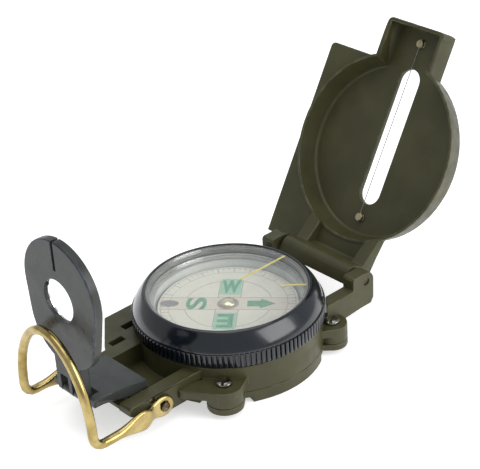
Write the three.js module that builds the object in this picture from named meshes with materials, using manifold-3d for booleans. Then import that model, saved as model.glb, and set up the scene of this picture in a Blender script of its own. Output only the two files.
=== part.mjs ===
/*
 * Lensatic compass, open for sighting.
 * Millimetres, +Z up. The origin is on the dial's axis, in the plane that the feet stand on.
 * +X points to the cover's hinge, -X to the lens bracket and +Y to the straight edge.
 */
import * as THREE from 'three';
import { mergeVertices } from 'three/addons/utils/BufferGeometryUtils.js';
import Module from 'manifold-3d';

const wasm = await Module();
wasm.setup();

// Fits
const RUNNING_GAP = 0.3; // between pieces that turn on each other
const SEAT_GAP = 0.05; // between pieces fixed face to face
const FOOT_SEAM = 0.15; // the line that shows between a foot and its post

// Dial capsule
const CAPSULE_RADIUS = 20;
const CAPSULE_WALL = 1.1;
const CAPSULE_FLOOR = 1.2;
const CAPSULE_DEPTH = 9.2;
const SEAL_THICKNESS = 0.6;
const WINDOW_THICKNESS = 1.2;
const DIAL_MARGIN = 0.7; // from the card's edge to the bowl's wall
const DIAL_THICKNESS = 0.5;
const DIAL_RISE = 5.6; // from the bowl's floor to the card
const DIAL_NORTH = -48; // degrees from +X
const MAGNET_LENGTH = 24;
const MAGNET_WIDTH = 3.8;
const MAGNET_THICKNESS = 1.2;
const PIVOT_RADIUS = 0.5;
const CAP_RADIUS = 2.2;
const CAP_RISE = 1.2;

// Base housing and bottom plate
const SKIRT_DROP = 1.5; // how far the bottom plate's middle stands below its feet
const FOOT_THICKNESS = 1.8;
const FOOT_NOTCH = 2.8; // clear space in the skirt round each foot
const FOOT_COVER = 0.6; // under a near screw's tip
const PLATE_RIM = 3; // the bottom plate's rim round its recess
const HOUSING_FLOOR = 2.6; // from the bottom plate to the capsule's seat
const SEAT_WEB = 1.4;
const NECK_WALL = 1;
const NECK_RISE = 0.3;
const REAR_EAR_RADIUS = 4.7;
const FRONT_EAR_RADIUS = 3.9;
const EAR_MARGIN = 0.2; // from the body's wall out to a screw's head
const EAR_DROP = 2; // from the deck down to the ears' top
const EAR_THICKNESS = 2.2;
const DECK_DROP = 0.9; // from the shoulder down to the deck
const DECK_THICKNESS = 2;
const DECK_INSET = 0.6; // from the grip's radius in to the deck's far edge
const FORK_WIDTH = 4.2;
const FORK_REACH = 7; // past the lens arm's pin
const LUG_WIDTH = 3.8;
const LUG_GAP = 1.1; // from the cover's tongue to a lug
const NEAR_LUG_DEPTH = 7.1; // from the hinge's axis down to the near lug's underside
const FAR_LUG_DEPTH = 6.2; // less, so that the straight edge can swing under it
const SCREW_RADIUS = 1.1;
const SCREW_HEAD_RADIUS = 2;
const SCREW_HEAD_HEIGHT = 1.1;

// Bezel
const BEZEL_WALL = 3.4;
const BEZEL_HEIGHT = 8.8;
const GRIP_HEIGHT = 3.8;
const GRIP_RIBS = 120;
const RIB_DEPTH = 0.45;
const GRIP_OVERHANG = 0.7; // past the housing's body
const LEDGE_THICKNESS = 0.8;
const LEDGE_WIDTH = 1;
const GLASS_THICKNESS = 1;
const LIP_RISE = 0.4;
const LIP_WALL = 0.6;
const RING_HEIGHT = 0.9;
const RING_BITE = 0.45; // how deep the retaining ring sits in each groove

// Cover
const COVER_OPENING = 120.5; // degrees from closed
const COVER_GAP = 0.3; // over the bezel when closed
const TABLE_GAP = 0.3; // under the cover when it is turned right back
const DISH_MARGIN = 0.1; // from the grip's radius to the dish's rim
const DISH_WALL = 0.75;
const DISH_DEPTH = 4.9; // behind the straight edge
const DISH_LIP = 0.9; // how far the dish's rim stands past the straight edge
const DISH_SLOPE = 1.8; // how much narrower the dish's floor is
const COVER_SKIN = 1.5;
const RULER_THICKNESS = 2;
const RULER_EDGE = 0.35; // how far the straight edge stands out past the dish
const RULER_CORNER = 1.6;
const BOX_WALL = 1.4;
const BOX_END_WALL = 1.1;
const BOX_CHAMFER = 1.1;
const BOX_CORNER = 1.8;
const SLOT_FRONT = 15.2;
const SLOT_LENGTH = 38.4;
const SLOT_WIDTH = 6.9;
const WIRE_RADIUS = 0.22;
const WIRE_LIFT = 0.75; // off the dish's floor
const WIRE_FRONT = 19.2;
const WIRE_LENGTH = 49.5;
const ANCHOR_RADIUS = 1.3;
const HINGE_OFFSET = 7.5; // from the grip to the hinge's axis
const HINGE_RADIUS = 2.6;
const HINGE_PIN_RADIUS = 1;
const HINGE_SHIFT = -0.7; // the hinge is set a little to the near side
const TONGUE_HALF_WIDTH = 12.4;
const TONGUE_ARM = 4;
const TONGUE_WEB = 1.6;
const TONGUE_DROP = 1.6; // how far the tongue's arms hang below the rim
const TONGUE_CREST = 5.2; // from the dish out to the tongue's bend

// Lens bracket
const ARM_HALF_WIDTH = 7.9;
const ARM_PIN_OFFSET = 11.9; // from the body to the arm's pin
const ARM_PIN_DROP = 1; // under the deck
const ARM_PIN_RADIUS = 0.8;
const ARM_BARREL_RADIUS = 2.6;
const ARM_TOP_RISE = 4.8; // from the pin's axis to the arm's top at its outer end
const STOW_GAP = 1.2; // over the bezel when the plate is folded on it
const PLATE_THICKNESS = 2.5;
const PLATE_PIN_RISE = 4; // from the arm's pin up to the plate's pin
const PLATE_PIN_RADIUS = 0.5;
const PLATE_LOW_RADIUS = 12.3;
const PLATE_LOW_RISE = 19.9;
const PLATE_TOP_RADIUS = 13.5;
const PLATE_TOP_RISE = 28.5;
const PLATE_LEAN = -0.5; // the head sits a little to the near side
const PLATE_CHAMFER = 0.3;
const PLATE_TONGUE = 5; // half width
const FINGER_SLOT_INNER = 0.65;
const FINGER_SLOT_OUTER = 3.55;
const FINGER_SLOT_RISE = 4.2;
const FINGER_RADIUS = 1.2;
const LENS_OPENING = 5.5; // the radius that shows in the plate's face
const LENS_SEAT = 0.4; // how far the lens reaches behind the plate's face
const LENS_RISE = 26.1;
const LENS_EDGE = 1;
const LENS_BULGE = 0.35;
const LENS_LIP = 1.2; // the rim that the lens rests on
const SLIT_WIDTH = 0.9;
const SLIT_GAP = 2.6; // from the lens's opening up to the slit

// Thumb loop
const LOOP_WIRE_RADIUS = 1.2;
const LOOP_PIN_OFFSET = 9.2; // from the body to the loop's screws
const LOOP_PIN_DROP = 3.5; // under the deck
const LOOP_REACH = 21.2; // from its screws to the arch, which clears the closed cover
const LOOP_HALF_WIDTH = 15.1;
const LOOP_SKEW = 1; // the near leg is bent this much further out, and the far leg less
const LOOP_SHIFT = 0.9; // the arch is bent a little to the far side
const LOOP_HEIGHT = 25;
const LOOP_BEND = 3;
const TAB_HALF_WIDTH = 2.75;
const TAB_THICKNESS = 1;
const TAB_LENGTH = 6.8; // from the tab's end to the joggle behind it
const TAB_NECK = 0.35; // the share of its width that the joggle loses
const TAB_GAP = 0.2;
const LOOP_SCREW_RADIUS = 0.9;
const LOOP_SCREW_HEAD = 1.6;

// Heights that follow
const footTop = SKIRT_DROP + FOOT_THICKNESS;
const seatZ = footTop + HOUSING_FLOOR;
const bowlBottom = seatZ + SEAT_GAP;
const bowlFloor = bowlBottom + CAPSULE_FLOOR;
const bowlRim = bowlBottom + CAPSULE_DEPTH;
const sealBottom = bowlRim + SEAT_GAP;
const windowBottom = sealBottom + SEAL_THICKNESS + SEAT_GAP;
const windowTop = windowBottom + WINDOW_THICKNESS;
const neckTop = windowTop + NECK_RISE;
const ledgeBottom = neckTop + RUNNING_GAP;
const ledgeTop = ledgeBottom + LEDGE_THICKNESS;
const glassBottom = ledgeTop + SEAT_GAP;
const lipTop = glassBottom + GLASS_THICKNESS + LIP_RISE;
const bezelBottom = lipTop - BEZEL_HEIGHT;
const gripTop = bezelBottom + GRIP_HEIGHT;
const ringBottom = bezelBottom + GRIP_HEIGHT / 2;
const shoulderZ = bezelBottom - RUNNING_GAP;
const deckTop = shoulderZ - DECK_DROP;
const deckBottom = deckTop - DECK_THICKNESS;
const earTop = deckTop - EAR_DROP;
const housingBottom = footTop + SEAT_GAP;
const postBottom = footTop + FOOT_SEAM;
const cardBottom = bowlFloor + DIAL_RISE;
const cardTop = cardBottom + DIAL_THICKNESS;
const rimZ = lipTop + COVER_GAP;
const dishRim = rimZ - DISH_LIP;
const dishFloor = rimZ + DISH_DEPTH;
const coverTop = dishFloor + COVER_SKIN;
const hingeZ = (coverTop + TABLE_GAP) / 2;

// Radii and reaches that follow
const wellRadius = CAPSULE_RADIUS + RUNNING_GAP;
const neckRadius = wellRadius + NECK_WALL;
const boreRadius = neckRadius + RUNNING_GAP;
const gripRadius = boreRadius + BEZEL_WALL;
const bodyRadius = gripRadius - GRIP_OVERHANG;
const lipRadius = boreRadius - SEAT_GAP;
const lipInner = lipRadius - LIP_WALL;
const glassRadius = lipInner - 3 * SEAT_GAP;
const earOffset = EAR_MARGIN + SCREW_HEAD_RADIUS;
const earReach = (bodyRadius + earOffset) * Math.SQRT1_2;
const dishInner = gripRadius + DISH_MARGIN;
const dishOuter = dishInner + DISH_WALL;
const hingeX = gripRadius + HINGE_OFFSET;
const armPinX = -(bodyRadius + ARM_PIN_OFFSET);
const armPinZ = deckTop - ARM_PIN_DROP;
const forkInner = ARM_HALF_WIDTH + RUNNING_GAP;
const forkOuter = forkInner + FORK_WIDTH;
const forkEnd = armPinX - FORK_REACH;
const lugInner = TONGUE_HALF_WIDTH + LUG_GAP;
const lugOuter = lugInner + LUG_WIDTH;
const plateBack = armPinX - (lipTop + STOW_GAP - armPinZ);
const plateFace = plateBack - PLATE_THICKNESS;
const platePinX = (plateBack + plateFace) / 2;
const platePinZ = armPinZ + PLATE_PIN_RISE;
const armTopZ = armPinZ + ARM_TOP_RISE;
const boxInner = ARM_HALF_WIDTH + 2 * RUNNING_GAP;
const boxOuter = boxInner + BOX_WALL;
const boxEndInner = armPinX + PLATE_PIN_RISE - PLATE_THICKNESS / 2 - RUNNING_GAP;
const boxEnd = boxEndInner - BOX_END_WALL;
const loopPinX = -(bodyRadius + LOOP_PIN_OFFSET);
const loopPinZ = deckTop - LOOP_PIN_DROP;
const loopEnd = loopPinX - LOOP_REACH;

const PAST = 1; // how far a cutting body stands out of the face that it cuts
const DEGREE = Math.PI / 180;

/** Turns a closed geometry into a body that can be joined and cut. */
function solidOf(geometry) {
  const bare = geometry.clone();
  bare.deleteAttribute('normal');
  bare.deleteAttribute('uv');
  const merged = mergeVertices(bare, 1e-4);
  const vertProperties = Float32Array.from(merged.attributes.position.array);
  const corner = new THREE.Vector3();
  const next = new THREE.Vector3();
  const last = new THREE.Vector3();
  const triangles = [];
  let volume = 0;
  for (let i = 0; i < merged.index.count; i += 3) {
    const [a, b, c] = [0, 1, 2].map((k) => merged.index.getX(i + k));
    if (a === b || b === c || c === a) continue;
    triangles.push([a, b, c]);
    corner.fromArray(vertProperties, 3 * a);
    next.fromArray(vertProperties, 3 * b);
    last.fromArray(vertProperties, 3 * c);
    volume += corner.dot(next.cross(last));
  }
  const outward = volume < 0 ? triangles.map(([a, b, c]) => [a, c, b]) : triangles;
  const triVerts = Uint32Array.from(outward.flat());
  return new wasm.Manifold(new wasm.Mesh({ numProp: 3, vertProperties, triVerts }));
}

/** Turns a finished body back into a geometry. */
function geometryOf(solid) {
  const { vertProperties, triVerts } = solid.getMesh();
  const geometry = new THREE.BufferGeometry();
  geometry.setAttribute('position', new THREE.BufferAttribute(vertProperties, 3));
  geometry.setIndex(new THREE.BufferAttribute(triVerts, 1));
  geometry.computeVertexNormals();
  return geometry;
}

const joined = (solids) => solids.reduce((sum, solid) => sum.add(solid));
const cut = (solid, cutters) => cutters.reduce((rest, cutter) => rest.subtract(cutter), solid);
const points = (pairs) => pairs.map(([a, b]) => new THREE.Vector2(a, b));
const polygon = (pairs) => new THREE.Shape(points(pairs));

/** A body turned round the Z axis from [radius, height] pairs. */
function turned(pairs, segments = 64) {
  return solidOf(new THREE.LatheGeometry(points(pairs), segments).rotateX(Math.PI / 2));
}

/** A turned body that is a plain ring. */
function ring(inner, outer, bottom, top, segments = 64) {
  return turned([[inner, bottom], [outer, bottom], [outer, top], [inner, top], [inner, bottom]], segments);
}

function disc(radius, bottom, top, x = 0, y = 0, segments = 64) {
  const geometry = new THREE.CylinderGeometry(radius, radius, top - bottom, segments);
  return solidOf(geometry.rotateX(Math.PI / 2).translate(x, y, (bottom + top) / 2));
}

/** A round bar along Y. */
function rod(radius, near, far, x, z, segments = 16) {
  const geometry = new THREE.CylinderGeometry(radius, radius, far - near, segments);
  return solidOf(geometry.translate(x, (near + far) / 2, z));
}

function block(x0, x1, y0, y1, z0, z1) {
  const geometry = new THREE.BoxGeometry(x1 - x0, y1 - y0, z1 - z0);
  return solidOf(geometry.translate((x0 + x1) / 2, (y0 + y1) / 2, (z0 + z1) / 2));
}

function extruded(shape, depth, options) {
  return new THREE.ExtrudeGeometry(shape, { depth, bevelEnabled: false, curveSegments: 8, ...options });
}

/** An X-Y outline raised along Z. */
function raised(shape, bottom, top) {
  return solidOf(extruded(shape, top - bottom).translate(0, 0, bottom));
}

/** An X-Z side view carried across Y. */
function across(shape, near, far) {
  return solidOf(extruded(shape, far - near).rotateX(Math.PI / 2).translate(0, far, 0));
}

/** A Y-Z front view carried along X. */
function along(shape, back, front, options) {
  const turn = new THREE.Matrix4().makeBasis(
    new THREE.Vector3(0, 1, 0),
    new THREE.Vector3(0, 0, 1),
    new THREE.Vector3(1, 0, 0),
  );
  return solidOf(extruded(shape, front - back, options).applyMatrix4(turn).translate(back, 0, 0));
}

/** The outline of a belt laid round two circles. */
function belt([ax, ay], ra, [bx, by], rb) {
  const heading = Math.atan2(by - ay, bx - ax);
  const spread = Math.acos((ra - rb) / Math.hypot(bx - ax, by - ay));
  const shape = new THREE.Shape();
  shape.absarc(ax, ay, ra, heading + spread, heading - spread + 2 * Math.PI, false);
  shape.absarc(bx, by, rb, heading - spread, heading + spread, false);
  return shape;
}

/** The same round bar on the near and the far side. */
function mirroredRods(radius, inner, outer, x, z) {
  return [rod(radius, -outer, -inner, x, z), rod(radius, inner, outer, x, z)];
}

const EARS = [
  { name: 'near_rear', x: -earReach, y: -earReach, radius: REAR_EAR_RADIUS },
  { name: 'near_front', x: earReach, y: -earReach, radius: FRONT_EAR_RADIUS },
  { name: 'far_rear', x: -earReach, y: earReach, radius: REAR_EAR_RADIUS },
  { name: 'far_front', x: earReach, y: earReach, radius: FRONT_EAR_RADIUS },
];

/** An ear's outline, drawn in towards the body. */
function earOutline({ x, y, radius }) {
  return belt([x, y], radius, [0.8 * x, 0.8 * y], 1.3 * radius);
}

/** A hinge lug's side view, curved up out of the ear. */
function lugShape(depth) {
  const shape = new THREE.Shape();
  const root = 0.8 * bodyRadius;
  shape.moveTo(root, earTop - EAR_THICKNESS);
  shape.lineTo(hingeX - HINGE_RADIUS, hingeZ - depth);
  shape.lineTo(hingeX + 0.6 * HINGE_RADIUS, hingeZ - depth);
  shape.lineTo(hingeX + 0.95 * HINGE_RADIUS, hingeZ - 0.8 * depth);
  shape.lineTo(hingeX + HINGE_RADIUS, hingeZ);
  shape.absarc(hingeX, hingeZ, HINGE_RADIUS, 0, Math.PI, false);
  shape.quadraticCurveTo(hingeX - 1.1 * HINGE_RADIUS, earTop, bodyRadius + earOffset, earTop);
  shape.lineTo(root, earTop);
  return shape;
}

function housing() {
  const body = turned([
    [0, housingBottom],
    [bodyRadius, housingBottom],
    [bodyRadius, shoulderZ],
    [neckRadius, shoulderZ],
    [neckRadius, ringBottom],
    [neckRadius - RING_BITE, ringBottom],
    [neckRadius - RING_BITE, ringBottom + RING_HEIGHT + RUNNING_GAP],
    [neckRadius, ringBottom + RING_HEIGHT + RUNNING_GAP],
    [neckRadius, neckTop],
    [0, neckTop],
  ]);
  const posts = EARS.map(({ x, y, radius }) => disc(radius, postBottom, earTop, x, y, 24));
  const flanges = EARS.map((ear) => raised(earOutline(ear), earTop - EAR_THICKNESS, earTop));
  const webs = EARS.filter(({ x }) => x < 0).map(({ x, y, radius }) => {
    const root = [loopPinX + 2.25 * TAB_HALF_WIDTH, Math.sign(y) * (forkOuter + 0.4)];
    return raised(belt([x, y], radius, root, 1), earTop - EAR_THICKNESS, earTop);
  });
  const forkDepth = deckTop - postBottom;
  const forkShape = polygon([
    [-0.7 * bodyRadius, postBottom],
    [armPinX, postBottom],
    [forkEnd, deckTop - forkDepth / 3],
    [forkEnd, deckTop - forkDepth / 10],
    [forkEnd + forkDepth / 10, deckTop],
    [-0.7 * bodyRadius, deckTop],
  ]);
  const fork = [across(forkShape, -forkOuter, -forkInner), across(forkShape, forkInner, forkOuter)];
  const edge = gripRadius - DECK_INSET;
  const rear = loopPinX + TAB_HALF_WIDTH + 2 * RUNNING_GAP;
  const deck = raised(polygon([
    [rear, forkInner],
    [0, forkInner],
    [0.9 * bodyRadius, forkInner],
    [0.9 * bodyRadius, edge],
    [-0.9 * bodyRadius, edge],
    [rear, forkOuter + 1.5],
  ]), deckBottom, deckTop);
  const slots = [
    block(rear + 1.5, -bodyRadius, forkOuter, forkOuter + 2, deckBottom - PAST, deckTop + PAST),
    block(-0.89 * bodyRadius, -0.65 * bodyRadius, earReach - 2.8, earReach - 0.6, earTop, deckTop + PAST),
  ];
  const hingeNear = HINGE_SHIFT - lugOuter;
  const nearLug = across(lugShape(NEAR_LUG_DEPTH), hingeNear, HINGE_SHIFT - lugInner);
  const farLug = across(lugShape(FAR_LUG_DEPTH), HINGE_SHIFT + lugInner, HINGE_SHIFT + lugOuter);
  const screwHoles = EARS.map(({ x, y }) => {
    const top = y < 0 ? earTop + PAST : earTop - EAR_THICKNESS;
    return disc(SCREW_RADIUS + 2 * SEAT_GAP, 0, top, x, y, 16);
  });
  return cut(joined([body, ...posts, ...flanges, ...webs, ...fork, deck, nearLug, farLug]), [
    disc(wellRadius, seatZ, neckTop + PAST),
    disc(wellRadius, 0, seatZ - SEAT_WEB),
    ...slots,
    ...screwHoles,
    rod(ARM_PIN_RADIUS + SEAT_GAP, -forkOuter - PAST, forkOuter + PAST, armPinX, armPinZ),
    ...mirroredRods(LOOP_SCREW_RADIUS + SEAT_GAP, forkInner + PAST, forkOuter + PAST, loopPinX, loopPinZ),
    rod(HINGE_PIN_RADIUS + SEAT_GAP, hingeNear - PAST, lugOuter + PAST, hingeX, hingeZ),
  ]);
}

const screwTip = SKIRT_DROP + FOOT_COVER;
const farHeadTop = SKIRT_DROP + SCREW_HEAD_HEIGHT;

function bottomPlate() {
  const skirt = cut(disc(bodyRadius, 0, footTop), [
    disc(bodyRadius - PLATE_RIM, SKIRT_DROP, footTop + PAST),
    ...EARS.map(({ x, y, radius }) => disc(radius + FOOT_NOTCH, -PAST, SKIRT_DROP, x, y, 32)),
  ]);
  const feet = EARS.map(({ x, y, radius }) =>
    raised(belt([x, y], radius, [0.75 * x, 0.75 * y], radius), SKIRT_DROP, footTop));
  const bores = EARS.flatMap(({ x, y }) => {
    const bore = SCREW_RADIUS + 2 * SEAT_GAP;
    if (y < 0) return [disc(bore, screwTip, footTop + PAST, x, y, 16)];
    return [
      disc(bore, 0, footTop + PAST, x, y, 16),
      disc(SCREW_HEAD_RADIUS + RUNNING_GAP, 0, farHeadTop + SEAT_GAP, x, y, 16),
    ];
  });
  return cut(joined([skirt, ...feet]), bores);
}

/** A slotted screw that points down, with its head's underside at Z 0. */
function screw(radius, length, headRadius, headHeight) {
  const shape = turned([
    [0, -length],
    [radius, -length],
    [radius, 0],
    [headRadius, 0],
    [headRadius, 0.6 * headHeight],
    [0.7 * headRadius, headHeight],
    [0, headHeight],
  ], 16);
  const half = 0.18 * headRadius;
  return cut(shape, [
    block(-2 * headRadius, 2 * headRadius, -half, half, 0.55 * headHeight, headHeight + PAST),
  ]);
}

function capsuleBowl() {
  const boss = 3 * PIVOT_RADIUS;
  const hole = PIVOT_RADIUS + SEAT_GAP;
  const inner = CAPSULE_RADIUS - CAPSULE_WALL;
  return turned([
    [0, bowlBottom],
    [CAPSULE_RADIUS, bowlBottom],
    [CAPSULE_RADIUS, bowlRim],
    [inner, bowlRim],
    [inner, bowlFloor],
    [boss, bowlFloor],
    [boss, bowlFloor + 2 * PIVOT_RADIUS],
    [hole, bowlFloor + 2 * PIVOT_RADIUS],
    [hole, bowlFloor - CAPSULE_FLOOR / 2],
    [0, bowlFloor - CAPSULE_FLOOR / 2],
  ], 48);
}

const skirtRadius = CAP_RADIUS - 0.8;
const jewelSeat = cardTop + 0.5 * CAP_RISE;

function jewelCap() {
  const cup = 0.65 * skirtRadius;
  const base = cardTop + SEAT_GAP;
  const dome = [];
  for (let step = 0; step <= 6; step += 1) {
    const angle = (step * Math.PI) / 12;
    dome.push([CAP_RADIUS * Math.sin(angle), base + 0.3 + (CAP_RISE - 0.3) * Math.cos(angle)]);
  }
  return turned([
    ...dome,
    [CAP_RADIUS, base],
    [skirtRadius, base],
    [skirtRadius, cardBottom - 1],
    [cup, cardBottom - 1],
    [cup, cardTop],
    [0, jewelSeat],
  ], 24);
}

function pivotPin() {
  const foot = bowlFloor - CAPSULE_FLOOR / 2 + SEAT_GAP;
  const tip = jewelSeat - RUNNING_GAP;
  return turned([[0, foot], [PIVOT_RADIUS, foot], [PIVOT_RADIUS, tip - 3 * PIVOT_RADIUS], [0, tip]], 16);
}

function magnet() {
  const top = cardBottom - SEAT_GAP;
  const bar = block(
    -MAGNET_LENGTH / 2, MAGNET_LENGTH / 2, -MAGNET_WIDTH / 2, MAGNET_WIDTH / 2, top - MAGNET_THICKNESS, top,
  );
  const eye = disc(0.75 * MAGNET_WIDTH, top - MAGNET_THICKNESS, top, 0, 0, 32);
  const hole = disc(skirtRadius + SEAT_GAP, top - MAGNET_THICKNESS - PAST, top + PAST, 0, 0, 32);
  return cut(joined([bar, eye]), [hole]);
}

function bezelRing() {
  const root = gripRadius - RIB_DEPTH;
  const groove = boreRadius + RING_BITE + RUNNING_GAP;
  const core = root - 0.8;
  const body = turned([
    [boreRadius, bezelBottom],
    [core, bezelBottom],
    [core, gripTop - 0.1],
    [gripRadius - 0.5, gripTop - 0.1],
    [lipRadius + 0.15, lipTop - 0.35],
    [lipRadius - 0.15, lipTop],
    [lipInner, lipTop],
    [lipInner, ledgeTop],
    [lipInner - LEDGE_WIDTH, ledgeTop],
    [lipInner - LEDGE_WIDTH, ledgeBottom],
    [boreRadius, ledgeBottom],
    [boreRadius, ringBottom + RING_HEIGHT + RUNNING_GAP],
    [groove, ringBottom + RING_HEIGHT + RUNNING_GAP],
    [groove, ringBottom],
    [boreRadius, ringBottom],
    [boreRadius, bezelBottom],
  ]);
  const teeth = [];
  const pitch = (2 * Math.PI) / GRIP_RIBS;
  for (let rib = 0; rib < GRIP_RIBS; rib += 1) {
    const valley = rib * pitch;
    const ridge = valley + pitch / 2;
    teeth.push([root * Math.cos(valley), root * Math.sin(valley)]);
    teeth.push([gripRadius * Math.cos(ridge), gripRadius * Math.sin(ridge)]);
  }
  const ribs = polygon(teeth);
  ribs.holes.push(new THREE.Path().absarc(0, 0, core - 0.4, 0, 2 * Math.PI));
  return joined([body, raised(ribs, bezelBottom + 0.2, gripTop)]);
}

/** The spring ring that snaps into both grooves, with its split towards the lens. */
function retainingRing() {
  const inner = neckRadius - RING_BITE + 2 * SEAT_GAP;
  const outer = boreRadius + RING_BITE;
  const split = 8 * DEGREE;
  const shape = new THREE.Shape();
  shape.absarc(0, 0, outer, split - Math.PI, Math.PI - split, false);
  shape.absarc(0, 0, inner, Math.PI - split, split - Math.PI, true);
  const bottom = ringBottom + RUNNING_GAP / 2;
  return solidOf(extruded(shape, RING_HEIGHT, { curveSegments: 32 }).translate(0, 0, bottom));
}

const anchorPlaces = [
  { name: 'wire_anchor_lower', x: WIRE_FRONT },
  { name: 'wire_anchor_upper', x: WIRE_FRONT - WIRE_LENGTH },
];
const wireZ = dishFloor - WIRE_LIFT;
const anchorHole = ANCHOR_RADIUS / 2 + RUNNING_GAP;

/** The cover as it lies when closed. */
function coverShell() {
  const dish = turned([
    [0, dishRim],
    [dishOuter, dishRim],
    [dishOuter - 0.7 * DISH_SLOPE, coverTop - 1.6],
    [dishOuter - 1.1 * DISH_SLOPE, coverTop - 0.5],
    [dishOuter - 1.5 * DISH_SLOPE, coverTop],
    [0, coverTop],
  ]);
  const hollow = turned([
    [0, rimZ - DISH_DEPTH],
    [dishInner, rimZ - DISH_DEPTH],
    [dishInner, dishRim],
    [dishInner - DISH_SLOPE + 0.5, dishFloor - 0.5],
    [dishInner - DISH_SLOPE, dishFloor],
    [0, dishFloor],
  ]);
  const boxFront = -0.6 * dishInner;
  const boxView = across(polygon([
    [boxEnd, rimZ],
    [boxFront, rimZ],
    [boxFront, coverTop],
    [boxEnd + BOX_CHAMFER, coverTop],
    [boxEnd, coverTop - BOX_CHAMFER],
  ]), -boxOuter, boxOuter);
  const boxSection = along(polygon([
    [-boxOuter, rimZ],
    [boxOuter, rimZ],
    [boxOuter, coverTop - BOX_CHAMFER],
    [boxOuter - BOX_CHAMFER, coverTop],
    [BOX_CHAMFER - boxOuter, coverTop],
    [-boxOuter, coverTop - BOX_CHAMFER],
  ]), boxEnd, boxFront);
  const boxPlan = new THREE.Shape();
  boxPlan.moveTo(boxFront, -boxOuter);
  boxPlan.lineTo(boxFront, boxOuter);
  boxPlan.lineTo(boxEnd + BOX_CORNER, boxOuter);
  boxPlan.quadraticCurveTo(boxEnd, boxOuter, boxEnd, boxOuter - BOX_CORNER);
  boxPlan.lineTo(boxEnd, BOX_CORNER - boxOuter);
  boxPlan.quadraticCurveTo(boxEnd, -boxOuter, boxEnd + BOX_CORNER, -boxOuter);
  const rulerRear = -0.93 * dishInner;
  const rulerEdge = dishOuter + RULER_EDGE;
  const ruler = new THREE.Shape();
  ruler.moveTo(rulerRear, 0);
  ruler.lineTo(hingeX, 0);
  ruler.lineTo(hingeX, rulerEdge);
  ruler.lineTo(rulerRear + RULER_CORNER, rulerEdge);
  ruler.quadraticCurveTo(rulerRear, rulerEdge, rulerRear, rulerEdge - RULER_CORNER);
  const slot = belt(
    [SLOT_FRONT - SLOT_WIDTH / 2, 0], SLOT_WIDTH / 2,
    [SLOT_FRONT - SLOT_LENGTH + SLOT_WIDTH / 2, 0], SLOT_WIDTH / 2,
  );
  const notch = polygon([[-1.3, rimZ - PAST], [1.3, rimZ - PAST], [1.3, rimZ], [0, rimZ + 1], [-1.3, rimZ]]);
  const shell = joined([
    dish,
    boxView.intersect(boxSection).intersect(raised(boxPlan, rimZ, coverTop)),
    cut(raised(ruler, rimZ, rimZ + RULER_THICKNESS), [tongueSpace()]),
    hingeTongue(),
  ]);
  return cut(shell, [
    hollow,
    block(boxEndInner, boxFront, -boxInner, boxInner, dishRim - PAST, dishFloor),
    raised(slot, dishFloor - PAST, coverTop + PAST),
    along(notch, boxEnd - PAST, boxEndInner + PAST),
    ...anchorPlaces.map(({ x }) => disc(anchorHole, dishFloor - PAST, coverTop + PAST, x, 0, 16)),
    rod(HINGE_PIN_RADIUS + RUNNING_GAP, -lugOuter - PAST, lugOuter + PAST, hingeX, hingeZ),
  ]);
}

/** Two arms from the rim down to the hinge pin, with a bar and a thin web between them. */
function hingeTongue() {
  const crestX = dishOuter + TONGUE_CREST;
  const rootX = 0.82 * dishOuter;
  const shape = new THREE.Shape();
  shape.moveTo(rootX, rimZ - TONGUE_DROP / 2);
  shape.lineTo(dishOuter, rimZ - 1.6 * TONGUE_DROP);
  shape.lineTo(hingeX - 1.1 * HINGE_RADIUS, hingeZ + HINGE_RADIUS);
  shape.lineTo(hingeX - HINGE_RADIUS, hingeZ);
  shape.absarc(hingeX, hingeZ, HINGE_RADIUS, Math.PI, 2 * Math.PI + 0.3, false);
  shape.lineTo(crestX, rimZ);
  shape.lineTo(dishOuter + 1, rimZ + 0.5);
  shape.lineTo(rootX, rimZ + 0.8 * RULER_THICKNESS);
  const sill = hingeZ + HINGE_RADIUS;
  const ceiling = rimZ - 0.6;
  const lean = (hingeX + HINGE_RADIUS - crestX) / (rimZ - hingeZ);
  const webX = (z) => crestX + lean * (rimZ - z) - TONGUE_WEB * Math.hypot(1, lean);
  const pocket = polygon([
    [rootX, sill],
    [webX(sill), sill],
    [webX(ceiling), ceiling],
    [rootX, ceiling],
  ]);
  const half = TONGUE_HALF_WIDTH - TONGUE_ARM;
  const tongue = across(shape, HINGE_SHIFT - TONGUE_HALF_WIDTH, HINGE_SHIFT + TONGUE_HALF_WIDTH);
  return cut(tongue, [across(pocket, HINGE_SHIFT - half, HINGE_SHIFT + half)]);
}

/** The gap in the ruler that the tongue fills. */
function tongueSpace() {
  const far = HINGE_SHIFT + TONGUE_HALF_WIDTH;
  return block(0.7 * dishOuter, hingeX + PAST, -PAST, far, rimZ - PAST, coverTop);
}

/** A small rivet that holds one end of the sighting wire off the dish's floor. */
function wireAnchor(x) {
  const under = dishFloor - RUNNING_GAP;
  const tip = wireZ - 2 * WIRE_RADIUS;
  const rivet = turned([
    [0, coverTop - RUNNING_GAP],
    [ANCHOR_RADIUS / 2, coverTop - RUNNING_GAP],
    [ANCHOR_RADIUS / 2, under],
    [ANCHOR_RADIUS, under],
    [0.8 * ANCHOR_RADIUS, tip],
    [0, tip],
  ], 16);
  const eye = new THREE.CylinderGeometry(WIRE_RADIUS + 0.1, WIRE_RADIUS + 0.1, 4 * ANCHOR_RADIUS, 12);
  const placed = geometryOf(rivet).translate(x, 0, 0);
  return cut(solidOf(placed), [solidOf(eye.rotateZ(Math.PI / 2).translate(x, 0, wireZ))]);
}

function sightWire() {
  const wire = new THREE.CylinderGeometry(WIRE_RADIUS, WIRE_RADIUS, WIRE_LENGTH + ANCHOR_RADIUS, 12);
  return solidOf(wire.rotateZ(Math.PI / 2).translate(WIRE_FRONT - WIRE_LENGTH / 2, 0, wireZ));
}

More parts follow.
